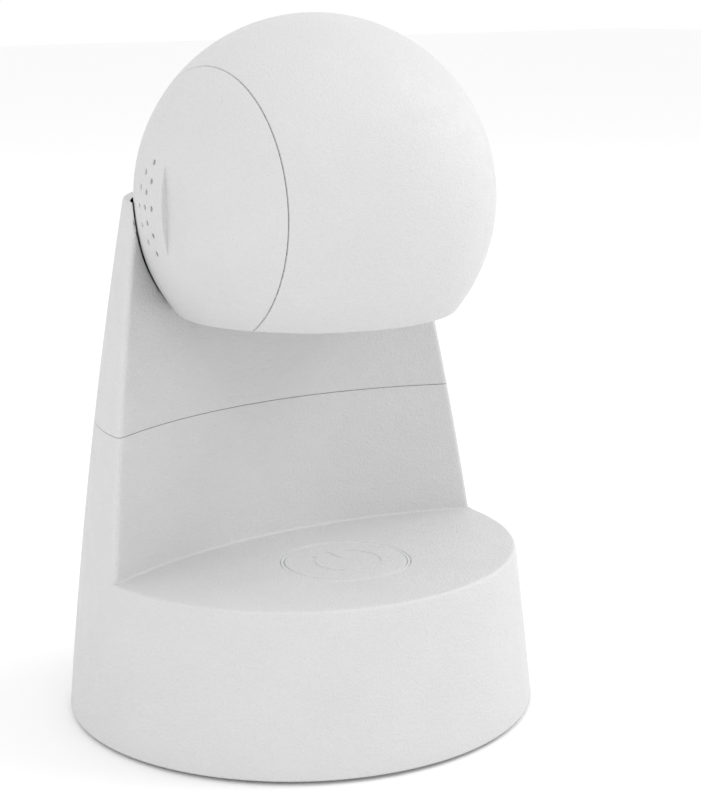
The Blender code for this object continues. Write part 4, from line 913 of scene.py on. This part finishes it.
    def socket_place(self) -> Vector:
        """Middle of the socket's mouth."""
        low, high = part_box("usb_socket")
        return Vector(((low.x + high.x) / 2, high.y, (low.z + high.z) / 2))

    def slot(self, half_width: float, half_height: float, steps: int = 14) -> list[Point2]:
        """Outline of a slot with round ends.

        Args:
            half_width: half of the slot's whole width.
            half_height: half of its height, which is the ends' radius.
            steps: stretches in each round end.

        Returns:
            The outline's points.
        """
        flat = half_width - half_height
        points = []
        for side in (1, -1):
            for i in range(steps + 1):
                angle = math.pi / 2 - math.pi * i / steps
                across, along = flat + half_height * math.cos(angle), half_height * math.sin(angle)
                points.append((side * across, side * along))
        return points

    def make_housing(self) -> bpy.types.Object:
        """The drum, its plate and the lower half of the column, with the button's hole and the port."""
        shell = skinned("base_shell", self.housing_rings())
        plate, hole, edge = self.places.plate, self.button_hole, 0.12 * MM
        way = turned("way", [(0, plate - 3 * self.wall), (hole, plate - 3 * self.wall), (hole, plate - edge),
                             (hole + edge, plate), (hole + 2 * edge, plate + self.wall),
                             (0, plate + self.wall)],
                     centre=(self.places.button.x, self.places.button.y, 0), steps=144)
        mouth = self.socket_place()
        outline = self.slot(self.socket_width / 2 + self.port_margin,
                            self.socket_height / 2 + self.port_margin)
        port = raised("port", outline, mouth.y - self.wall, mouth.y + 4 * self.wall, Axis.Y, (0, 0, mouth.z))
        return dressed(smooth(carved(shell, (way, port))), WHITE_ABS, "stand", "base_housing")

    def make_column(self) -> bpy.types.Object:
        """The upper column with the ball's pocket and the shelf under the ball."""
        column = skinned("column_shell", self.column_rings())
        head, low = self.places.head, self.places.head_bottom - self.shelf_gap - self.shelf
        half = self.shelf_half_width
        back = self.crescent.face(low)[0] + 2 * self.wall
        front = [(half * math.cos(a), head.y + half * math.sin(a))
                 for a in (math.pi + math.pi * i / 40 for i in range(41))]
        tongue = raised("tongue", [*front, (half, back), (-half, back)], low, low + self.shelf, edge=0.5 * MM)
        carved(column, (tongue,), Cut.ON)
        pocket = turned("pocket", self.pocket_profile(), centre=head, steps=192)
        carved(column, (pocket,))
        self.soften_pocket(column)
        return dressed(smooth(column), WHITE_ABS, "stand", "upper_column")

    def pocket_profile(self) -> list[Point2]:
        """Profile of what the pocket clears: a ball with a flat underside over the shelf."""
        flat = self.places.head_bottom - self.shelf_gap - self.places.head.z
        stop = math.acos(flat / self.pocket_radius)
        return arc_points(self.pocket_radius, 0, stop, 96) + [(0, flat)]

    def soften_pocket(self, column: bpy.types.Object) -> None:
        """Rounds the edge where the pocket breaks out of the column's face and top."""
        bm = bmesh.new()
        bm.from_mesh(column.data)
        bmesh.ops.remove_doubles(bm, verts=bm.verts, dist=0.02 * MM)
        head = self.places.head

        def in_pocket(face: bmesh.types.BMFace) -> bool:
            return all(abs((v.co - head).length - self.pocket_radius) < 0.03 * MM for v in face.verts)

        rim = []
        for edge in bm.edges:
            if len(edge.link_faces) != 2:
                continue
            inside = [in_pocket(face) for face in edge.link_faces]
            if inside[0] != inside[1] and math.radians(25) < edge.calc_face_angle(0) < math.radians(135):
                rim.append(edge)
        bmesh.ops.bevel(bm, geom=rim, offset=self.pocket_edge, segments=3, profile=0.5, affect="EDGES",
                        clamp_overlap=False, material=-1)
        bm.to_mesh(column.data)
        bm.free()

    def make_feet(self) -> None:
        """Four rubber feet with rounded edges."""
        for number in range(1, 5):
            low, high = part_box(f"foot_{number}")
            radius, tall, edge = (high.x - low.x) / 2, high.z - low.z, 0.4 * MM
            profile = rounded([(0, 0, 0), (radius, 0, edge), (radius, tall, 0), (0, tall, 0)])
            middle = ((low.x + high.x) / 2, (low.y + high.y) / 2, low.z)
            foot = turned(f"rubber_foot_{number}", profile, centre=middle, steps=64)
            dressed(smooth(foot), RUBBER, "stand", f"foot_{number}")

    def make_socket(self) -> None:
        """The power socket's drawn shell and its black tongue."""
        mouth = self.socket_place()
        half, tall, sheet = self.socket_width / 2, self.socket_height / 2, self.socket_sheet
        level, back = (0, 0, mouth.z), mouth.y - self.socket_length
        shell = raised("socket_shell", self.slot(half, tall), back, mouth.y, Axis.Y, level, edge=0.1 * MM)
        room = self.slot(half - sheet, tall - sheet)
        carved(shell, (raised("room", room, back + 2 * sheet, mouth.y + MM, Axis.Y, level),))
        dressed(smooth(shell), STEEL, "stand", "usb_socket")
        blade = block("socket_tongue", Vector((-3 * sheet - half * 0.45, back + sheet, mouth.z - sheet)),
                      Vector((3 * sheet + half * 0.45, mouth.y - 3 * sheet, mouth.z + sheet)), edge=0.1 * MM)
        dressed(smooth(blade), BLACK_ABS, "stand")

    def make(self) -> None:
        """Makes the whole stand."""
        self.make_housing()
        self.make_column()
        self.make_feet()
        self.make_socket()


@dataclass
class CallButton:
    """The round call button with its sunk standby sign, and the light guide around it."""

    places: Places
    radius: float = 11.5 * MM
    gap: float = 0.07 * MM
    ring_width: float = 0.6 * MM
    ring_flange: float = 2.0 * MM
    ring_thickness: float = 1.2 * MM
    plate_wall: float = 2.0 * MM
    cap_height: float = 5.2 * MM
    cap_wall: float = 1.3 * MM
    stem_radius: float = 1.6 * MM
    stem_length: float = 1.0 * MM
    edge: float = 0.22 * MM
    sign_radius: float = 6.2 * MM
    sign_line: float = 1.0 * MM
    sign_depth: float = 0.09 * MM
    sign_opening: float = math.radians(32)

    def sign_tools(self) -> list[bpy.types.Object]:
        """Shapes of the standby sign: an open ring and a bar."""
        x, y, top = self.places.button
        half, flare = self.sign_line / 2, 0.12 * MM
        low, high = top - self.sign_depth, top + MM
        ring = [(self.sign_radius - half, low), (self.sign_radius + half, low),
                (self.sign_radius + half + flare, high), (self.sign_radius - half - flare, high)]
        bm = bmesh.new()
        face = bm.faces.new([bm.verts.new((radius, 0, height)) for radius, height in ring])
        bmesh.ops.rotate(bm, verts=bm.verts, cent=(0, 0, 0),
                         matrix=Matrix.Rotation(math.pi / 2 + self.sign_opening, 3, "Z"))
        bmesh.ops.spin(bm, geom=[face], cent=(0, 0, 0), axis=(0, 0, 1), steps=96,
                       angle=2 * math.pi - 2 * self.sign_opening)
        bmesh.ops.translate(bm, verts=bm.verts, vec=(x, y, 0))
        circle = finished_mesh("circle", bm)
        near, far = y + 1.2 * self.sign_line, y + self.sign_radius + half
        bar = block("bar", Vector((x - half, near, low)), Vector((x + half, far, high)))
        return [circle, bar]

    def make_cap(self) -> bpy.types.Object:
        """The button's cap with its skirt and stem."""
        x, y, top = self.places.button
        low = top - self.cap_height
        skirt = self.radius + self.gap + self.ring_width
        inner, ceiling, step = self.radius - self.cap_wall, top - self.cap_wall, low + self.cap_wall
        profile = rounded([
            (0, top, 0),
            (self.radius - self.edge - 0.3 * MM, top, 0),
            (self.radius, top, self.edge),
            (self.radius, step, 0),
            (skirt, step, 0.2 * MM),
            (skirt, low, 0.2 * MM),
            (inner, low, 0.2 * MM),
            (inner, ceiling, 0.3 * MM),
            (self.stem_radius, ceiling, 0.3 * MM),
            (self.stem_radius, low - self.stem_length, 0.3 * MM),
            (0, low - self.stem_length, 0),
        ])
        cap = turned("button_cap", profile, centre=(x, y, 0), steps=144)
        carved(cap, self.sign_tools())
        return dressed(smooth(cap), WHITE_ABS, "call_button", "call_button")

    def make_ring(self) -> bpy.types.Object:
        """The light guide, held under the plate by its flange."""
        x, y, top = self.places.button
        inner = self.radius + self.gap
        outer, under = inner + self.ring_width, top - self.plate_wall - 0.3 * MM
        level, low = top - 0.05 * MM, under - self.ring_thickness
        profile = rounded([
            (inner, level, 0.12 * MM),
            (outer, level, 0.12 * MM),
            (outer, under, 0),
            (outer + self.ring_flange, under, 0.2 * MM),
            (outer + self.ring_flange, low, 0.2 * MM),
            (inner, low, 0.2 * MM),
        ])
        ring = turned("light_ring", profile, centre=(x, y, 0), steps=144)
        return dressed(smooth(ring), OPAL_ACRYLIC, "stand", "button_ring")

    def make(self) -> None:
        """Makes the button and its ring."""
        self.make_cap()
        self.make_ring()


# ------------------------------------------------------------------------- head


@dataclass
class BallHead:
    """The ball's front shell, its rear cover, its floor and the bezel around the eyeball."""

    places: Places
    radius: float = 33.06 * MM
    wall: float = 2.0 * MM
    cut: float = 20.7 * MM
    flat_edge: float = 0.7 * MM
    seam: float = 22.4 * MM
    seam_gap: float = 0.14 * MM
    lip_edge: float = 0.08 * MM
    lip_depth: float = 2.4 * MM
    lip_wall: float = 1.2 * MM
    facet_depth: float = 1.0 * MM
    facet_edge: float = 1.0 * MM
    hole_radius: float = 0.5 * MM
    hole_rings: tuple[tuple[float, int, float], ...] = ((2.8 * MM, 1, 0.0), (5.7 * MM, 5, 28.5),
                                                        (8.6 * MM, 7, 23.0))
    bezel_radius: float = 17.3 * MM
    bezel_depth: float = 2.7 * MM
    bezel_flange: float = 1.1 * MM
    bezel_hole: float = 0.4 * MM
    floor_bore: float = 4.7 * MM
    floor_thickness: float = 1.5 * MM
    floor_edge: float = 0.3 * MM
    fit: float = 0.3 * MM
    eye_gap: float = 0.4 * MM
    steps: int = 240

    def underside(self) -> bpy.types.Object:
        """What is cleared below the ball's flat, with the rounding of its edge."""
        edge, cut, radius = self.flat_edge, self.cut, self.radius
        reach = math.sqrt((radius - edge) ** 2 - (cut - edge) ** 2)
        stop = math.pi - math.atan2(reach, cut - edge)
        fillet = arc_points(edge, math.pi, stop, 6, (reach, edge - cut))
        last = fillet[-1]
        out = (last[0] + radius * math.sin(stop), last[1] + radius * math.cos(stop) + 0.2 * MM)
        low = -2 * radius
        return turned("under", [(0, low), (out[0], low), out, *fillet[::-1], (0, -cut)], Axis.Z,
                      self.places.head, steps=self.steps)

    def make_shell(self) -> bpy.types.Object:
        """The front shell, open at the bezel and cut square at the cover's seam."""
        inside, back = self.radius - self.wall, -self.seam + self.seam_gap / 2
        front = math.sqrt(self.radius**2 - (self.bezel_radius + self.fit) ** 2)
        outside = arc_points(self.radius, math.acos((front - self.lip_edge) / self.radius),
                             math.acos((back + self.lip_edge) / self.radius), 110)
        within = arc_points(inside, math.acos(back / inside), math.acos(front / inside), 80)
        lip = [(math.sqrt(inside**2 - front**2) + self.lip_edge, front),
               (outside[0][0] - self.lip_edge, front)]
        rear = (outside[-1][0] - self.lip_edge, back)
        shell = turned("ball_shell", [*outside, rear, *within, *lip], Axis.X, self.places.head, self.steps)
        return dressed(smooth(carved(shell, (self.underside(),))), WHITE_ABS, "head", "head_shell")

    def make_cover(self) -> bpy.types.Object:
        """The rear cover with its lip, its flat finger facet and its sound holes."""
        head, inside, front = self.places.head, self.radius - self.wall, -self.seam - self.seam_gap / 2
        outside = arc_points(self.radius, math.acos((front - self.lip_edge) / self.radius), math.pi, 60)
        lip = math.sqrt(inside**2 - front**2) - self.fit
        low = lip - self.lip_wall
        foot = -math.sqrt(inside**2 - low**2)
        within = arc_points(inside, math.pi, math.acos(foot / inside), 50)
        rim = [(low, foot), (low, front + self.lip_depth), (lip, front + self.lip_depth), (lip, front),
               (outside[0][0] - self.lip_edge, front)]
        cover = turned("ball_cover", [*outside, *within[:-1], *rim], Axis.X, head, self.steps)
        facet = head.x - self.radius + self.facet_depth
        corner = Vector((facet - self.radius, head.y - self.radius, head.z - self.radius))
        far = Vector((facet, head.y - self.facet_edge, head.z + self.radius))
        carved(cover, [self.underside(), block("facet", corner, far), *self.hole_tools()])
        return dressed(smooth(cover), WHITE_ABS, "head", "rear_cover")

    def hole_tools(self) -> list[bpy.types.Object]:
        """Drills for the sound holes, square to the ball and flared at its surface."""
        tools = []
        flare = 0.14 * MM
        for ring, count, spacing in self.hole_rings:
            for i in range(count):
                angle = math.radians(spacing * (i - (count - 1) / 2))
                y, z = ring * math.cos(angle), ring * math.sin(angle)
                spot = Vector((-math.sqrt(self.radius**2 - ring**2), y, z))
                profile = [(0, -2 * self.wall), (self.hole_radius, -2 * self.wall),
                           (self.hole_radius, -flare), (self.hole_radius + 2 * flare, flare), (0, flare)]
                drill = turned("drill", profile, steps=20)
                turn = spot.to_track_quat("Z", "Y").to_matrix().to_4x4()
                drill.data.transform(Matrix.Translation(self.places.head + spot) @ turn)
                tools.append(drill)
        return tools

    def make_floor(self) -> bpy.types.Object:
        """The ball's floor, which turns on the pan post."""
        low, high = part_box("head_floor")
        radius, bore = (high.y - low.y) / 2, self.floor_bore
        edge, thick = self.floor_edge, self.floor_thickness
        profile = rounded([(bore, 0, edge), (radius, 0, edge), (radius, thick, edge), (bore, thick, edge)])
        middle = (self.places.head.x, self.places.head.y, low.z)
        floor = turned("ball_floor", profile, centre=middle, steps=160)
        return dressed(smooth(floor), WHITE_ABS, "head", "head_floor")

    def make_bezel(self) -> bpy.types.Object:
        """The dished black ring around the eyeball, with fine baffle steps and a sound hole."""
        low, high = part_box("lens_bezel")
        head = self.places.head
        front, back = high.x - head.x, low.x - head.x
        inner_x = front - self.bezel_depth
        eye_x = self.places.eye.x - head.x
        eye_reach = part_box("eyeball_shell")[1].y - self.places.eye.y + self.eye_gap
        inner = math.sqrt(eye_reach**2 - (inner_x - eye_x) ** 2)
        inner_back = math.sqrt(eye_reach**2 - (back - eye_x) ** 2)
        flange = (high.z - low.z) / 2
        face = self.bezel_profile(front, inner_x, inner)
        shoulder = back + self.bezel_flange
        profile = face + [(inner_back, back), (flange, back), (flange, shoulder),
                          (self.bezel_radius, shoulder)]
        ring = turned("bezel_ring", profile, Axis.X, head, steps=192)
        spot = head + Vector((0, 0, (inner + self.bezel_radius) / 2))
        hole, start = self.bezel_hole, inner_x - MM
        drill = turned("drill", [(0, start), (hole, start), (hole, front), (0, front)], Axis.X, spot,
                       steps=20)
        return dressed(smooth(carved(ring, (drill,))), BLACK_ABS, "head", "lens_bezel")

    def bezel_profile(self, front: float, inner_x: float, inner: float, grooves: int = 4) -> list[Point2]:
        """Front of the bezel from its rim down to the eyeball in fine steps.

        Args:
            front: distance of the rim from the ball's middle.
            inner_x: distance of the dish's foot.
            inner: radius of the dish's foot.
            grooves: number of steps.

        Returns:
            Points (radius, distance), from the outer edge inwards.
        """
        edge, land = 0.4 * MM, 0.9 * MM
        points = arc_points(edge, math.pi / 2, 0, 4, (self.bezel_radius - edge, front - edge))
        start = self.bezel_radius - land
        for i in range(grooves):
            near = start + (inner + 0.3 * MM - start) * i / grooves
            level = front - (front - inner_x) * i / grooves
            down = front - (front - inner_x) * (i + 1) / grooves
            points += [(near, level), (near - 0.06 * MM, down)]
        return points + [(inner + 0.2 * MM, inner_x), (inner, inner_x - 0.2 * MM)]

    def make(self) -> None:
        """Makes the whole ball."""
        self.make_shell()
        self.make_cover()
        self.make_floor()
        self.make_bezel()


@dataclass
class LensUnit:
    """The tilting eyeball with its black window, lens barrel and glasses."""

    places: Places
    radius: float = 17.0 * MM
    setback: float = 0.85 * MM
    wall: float = 1.5 * MM
    window_radius: float = 10.0 * MM
    window_gap: float = 0.18 * MM
    barrel_radius: float = 5.2 * MM
    lens_radius: float = 3.4 * MM
    lens_curve: float = 7.0 * MM
    lens_hollow: float = 8.0 * MM
    lens_land: float = 0.6 * MM
    barrel_foot: float = 4.0 * MM
    barrel_edge: float = 0.2 * MM
    baffle_land: float = 0.7 * MM
    baffle_depth: float = 1.9 * MM
    seat_depth: float = 3.2 * MM
    iris_radius: float = 1.5 * MM
    iris_depth: float = 1.4 * MM
    notch_radius: float = 3.0 * MM
    edge: float = 0.15 * MM

    def dome(self, radius: float, start: float, stop: float, steps: int) -> list[Point2]:
        """Profile along a dome between two distances from its axis.

        Args:
            radius: the dome's radius.
            start: first distance.
            stop: last distance.
            steps: stretches between the points.

        Returns:
            Points (radius, height).
        """
        return arc_points(radius, math.asin(start / radius), math.asin(stop / radius), steps)

    def make_eyeball(self) -> bpy.types.Object:
        """The white half-ball, notched for its pins."""
        inside, opening = self.radius - self.wall, self.window_radius + self.window_gap
        outside = self.dome(self.radius, opening + self.edge, self.radius, 36)
        lip = math.sqrt(self.radius**2 - opening**2) - self.edge
        within = self.dome(inside, opening, inside, 24)[::-1]
        shell = turned("eyeball", outside + within + [(opening, lip)], Axis.X, self.places.eye, steps=192)
        reach = self.radius + 2 * MM
        pin = [(0, -reach), (self.notch_radius, -reach), (self.notch_radius, reach), (0, reach)]
        notch = turned("notch", pin, Axis.Y, self.places.eye, steps=48)
        return dressed(smooth(carved(shell, (notch,))), WHITE_ABS, "lens_unit", "eyeball_shell")

    def make_window(self) -> bpy.types.Object:
        """The polished black window, flush with the eyeball."""
        hole, inside = self.barrel_radius + self.window_gap, self.radius - self.wall
        outside = self.dome(self.radius, hole + self.edge, self.window_radius - self.edge, 20)
        rim = (self.window_radius, math.sqrt(self.radius**2 - self.window_radius**2) - self.edge)
        throat = (hole, math.sqrt(self.radius**2 - hole**2) - self.edge)
        within = self.dome(inside, hole, self.window_radius, 8)[::-1]
        profile = outside + [rim] + within + [throat]
        window = turned("black_window", profile, Axis.X, self.places.eye, steps=160)
        return dressed(smooth(window), BLACK_ACRYLIC, "lens_unit", "face_window")

    def make_barrel(self) -> bpy.types.Object:
        """The lens barrel with a stepped baffle in its throat."""
        low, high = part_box("lens_barrel")
        base, tip = low.x - self.places.eye.x, high.x - self.places.eye.x
        foot = (high.y - low.y) / 2
        edge, throat, seat = self.barrel_edge, self.lens_radius + 0.2 * MM, tip - self.seat_depth
        stages = 4
        step = base + self.barrel_foot
        profile = [(0, base), (foot, base), (foot, step), (self.barrel_radius, step)]
        profile += arc_points(edge, math.pi / 2, 0, 3, (self.barrel_radius - edge, tip - edge))
        wide, level = self.barrel_radius - self.baffle_land, tip
        for i in range(stages):
            share = (i + 1) / stages
            profile.append((wide + (throat - wide) * i / stages, level))
            level = tip - self.baffle_depth * share
            profile.append((wide + (throat - wide) * (i + 0.25) / stages, level))
        iris, end = self.iris_radius, seat - self.iris_depth
        profile += [(throat, tip - self.baffle_depth), (throat, seat), (iris, seat), (iris, end), (0, end)]
        barrel = turned("barrel", profile, Axis.X, self.places.eye, steps=128)
        return dressed(smooth(barrel), BLACK_ABS, "lens_unit", "lens_barrel")

    def make_glasses(self) -> None:
        """The domed front glass and the coated element behind it."""
        low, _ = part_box("lens_glass")
        back = low.x - self.places.eye.x
        edge, reach = back + self.lens_land, self.lens_radius
        middle = edge - math.sqrt(self.lens_curve**2 - reach**2)
        front = arc_points(self.lens_curve, 0, math.asin(reach / self.lens_curve), 24, (0, middle))
        hollow = self.lens_hollow
        sag = hollow - math.sqrt(hollow**2 - (0.8 * reach) ** 2)
        behind = [(reach, back)] + [(r, back + sag - (hollow - math.sqrt(hollow**2 - r**2)))
                                    for r in (0.8 * reach * (1 - i / 12) for i in range(13))]
        glass = turned("front_glass", front + behind, Axis.X, self.places.eye, steps=128)
        dressed(smooth(glass, 50), CLEAR_GLASS, "lens_unit", "lens_glass")
        small, curve, seat = 1.45 * MM, 2.4 * MM, back - 1.0 * MM
        rise = math.sqrt(curve**2 - small**2)
        dome = arc_points(curve, 0, math.asin(small / curve), 12, (0, seat - rise))
        inner = turned("inner_glass", dome + [(small, seat - 0.3 * MM), (0, seat - 0.3 * MM)], Axis.X,
                       self.places.eye, steps=64)
        dressed(smooth(inner), INNER_GLASS, "lens_unit")

    def make(self) -> None:
        """Makes the whole lens unit."""
        self.make_eyeball()
        self.make_window()
        self.make_barrel()
        self.make_glasses()


# ----------------------------------------------------------------- inner pieces


@dataclass
class InnerWorks:
    """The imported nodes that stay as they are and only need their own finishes."""

    finishes: tuple[Finish, ...] = (WHITE_ABS, OPAL_ACRYLIC, BLACK_ABS, BLACK_ACRYLIC, GREY_NYLON, ACETAL,
                                    RUBBER, STEEL, ZINC, BOARD, INNER_GLASS, EPOXY, FILM)

    def slots(self) -> dict[str, str]:
        """The record's material slot of each node."""
        return {row["node"]: row["material_slot"] for row in frame["record"]["subparts"]}

    def make(self) -> None:
        """Dresses every shown node in the finish of its slot."""
        by_slot = {finish.slot: finish for finish in self.finishes}
        slots = self.slots()
        for name, node in frame["nodes"].items():
            finish = by_slot[slots[name]]
            node.data.materials.clear()
            node.data.materials.append(finish.material())
            LOG.info("%s: %s", name, finish.name)


# ----------------------------------------------------------------------- studio


@dataclass
class Studio:
    """Pale floor, soft light and the camera.

    Attributes:
        azimuth: angle of the camera round the object, from straight in front, in degrees.
        elevation: angle of the camera above the level, in degrees.
        distance: from the camera to the point it looks at.
        sideways: how far that point lies to the camera's right of the object's axis.
        look_height: height of that point.
        roll: turn of the camera about its own line of sight, in degrees.
        lens: focal length for a 36 mm sensor, in millimetres.
    """

    azimuth: float = -36.097
    elevation: float = 12.47
    distance: float = 355.765 * MM
    sideways: float = 10.233 * MM
    look_height: float = 58.709 * MM
    roll: float = -0.562
    lens: float = 84.12

    def axes(self) -> tuple[Vector, Vector, Vector]:
        """The camera's right, up and backward directions before its roll."""
        az, el = math.radians(self.azimuth), math.radians(self.elevation)
        right = Vector((math.cos(az), math.sin(az), 0))
        back = Vector((math.sin(az) * math.cos(el), -math.cos(az) * math.cos(el), math.sin(el)))
        return right, back.cross(right), back

    def make_camera(self) -> None:
        """Places the camera and makes it the scene's own."""
        right, up, back = self.axes()
        data = bpy.data.cameras.new("camera")
        data.lens = self.lens
        data.sensor_width = 36.0
        data.clip_start = 0.01
        data.clip_end = 20.0
        view = bpy.data.objects.new("camera", data)
        view.location = right * self.sideways + Vector((0, 0, self.look_height)) + back * self.distance
        turn = Matrix((right, up, back)).transposed().to_quaternion()
        view.rotation_mode = "QUATERNION"
        view.rotation_quaternion = turn @ Quaternion((0, 0, 1), math.radians(self.roll))
        bpy.context.scene.collection.objects.link(view)
        bpy.context.scene.camera = view

    def make_floor(self) -> None:
        """A wide pale floor, fading from sight into the white surroundings."""
        bm = bmesh.new()
        bmesh.ops.create_grid(bm, x_segments=2, y_segments=2, size=4.0)
        floor = finished_mesh("floor", bm, outwards=False)
        floor.data.materials.append(Finish("paper_white_matte", "FAFAFA", 0.9, "white_plastic", grain=4.0,
                                           depth=0.0, shade=0.0).material())

    def make_light(self, name: str, place: Vector, size: float, power: float) -> None:
        """One soft round lamp that faces the object.

        Args:
            name: the lamp's name.
            place: where it hangs.
            size: its width.
            power: its strength in watts.
        """
        data = bpy.data.lights.new(name, "AREA")
        data.shape = "DISK"
        data.size = size
        data.energy = power
        lamp = bpy.data.objects.new(name, data)
        lamp.location = place
        lamp.rotation_mode = "QUATERNION"
        aim = Vector((0, 0, 0.07)) - place
        lamp.rotation_quaternion = aim.to_track_quat("-Z", "Y")
        bpy.context.scene.collection.objects.link(lamp)

    def make_surroundings(self) -> None:
        """White surroundings that light the object evenly."""
        world = bpy.data.worlds.new("white_room")
        world.use_nodes = True
        sky = world.node_tree.nodes["Background"]
        sky.inputs["Color"].default_value = (1, 1, 1, 1)
        sky.inputs["Strength"].default_value = 1.0
        bpy.context.scene.world = world
        bpy.context.scene.view_settings.view_transform = "Standard"

    def make(self) -> None:
        """Makes the whole studio."""
        self.make_camera()
        self.make_floor()
        self.make_surroundings()
        self.make_light("side", Vector((0.97, 0, 0.33)), 0.5, 1.35)
        self.make_light("key", Vector((0.61, -0.35, 0.78)), 0.5, 2.1)
        self.make_light("fill", Vector((-0.5, -0.5, 0.78)), 0.5, 1.3)


def main() -> None:
    """Builds every sub-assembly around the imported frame."""
    logging.basicConfig(level=logging.INFO, format="%(message)s")
    places = Places.read(BallHead.radius, LensUnit.setback, LensUnit.radius)
    InnerWorks().make()
    Stand(places, Crescent(places)).make()
    CallButton(places).make()
    BallHead(places).make()
    LensUnit(places).make()
    Studio().make()


if __name__ == "__main__":
    main()
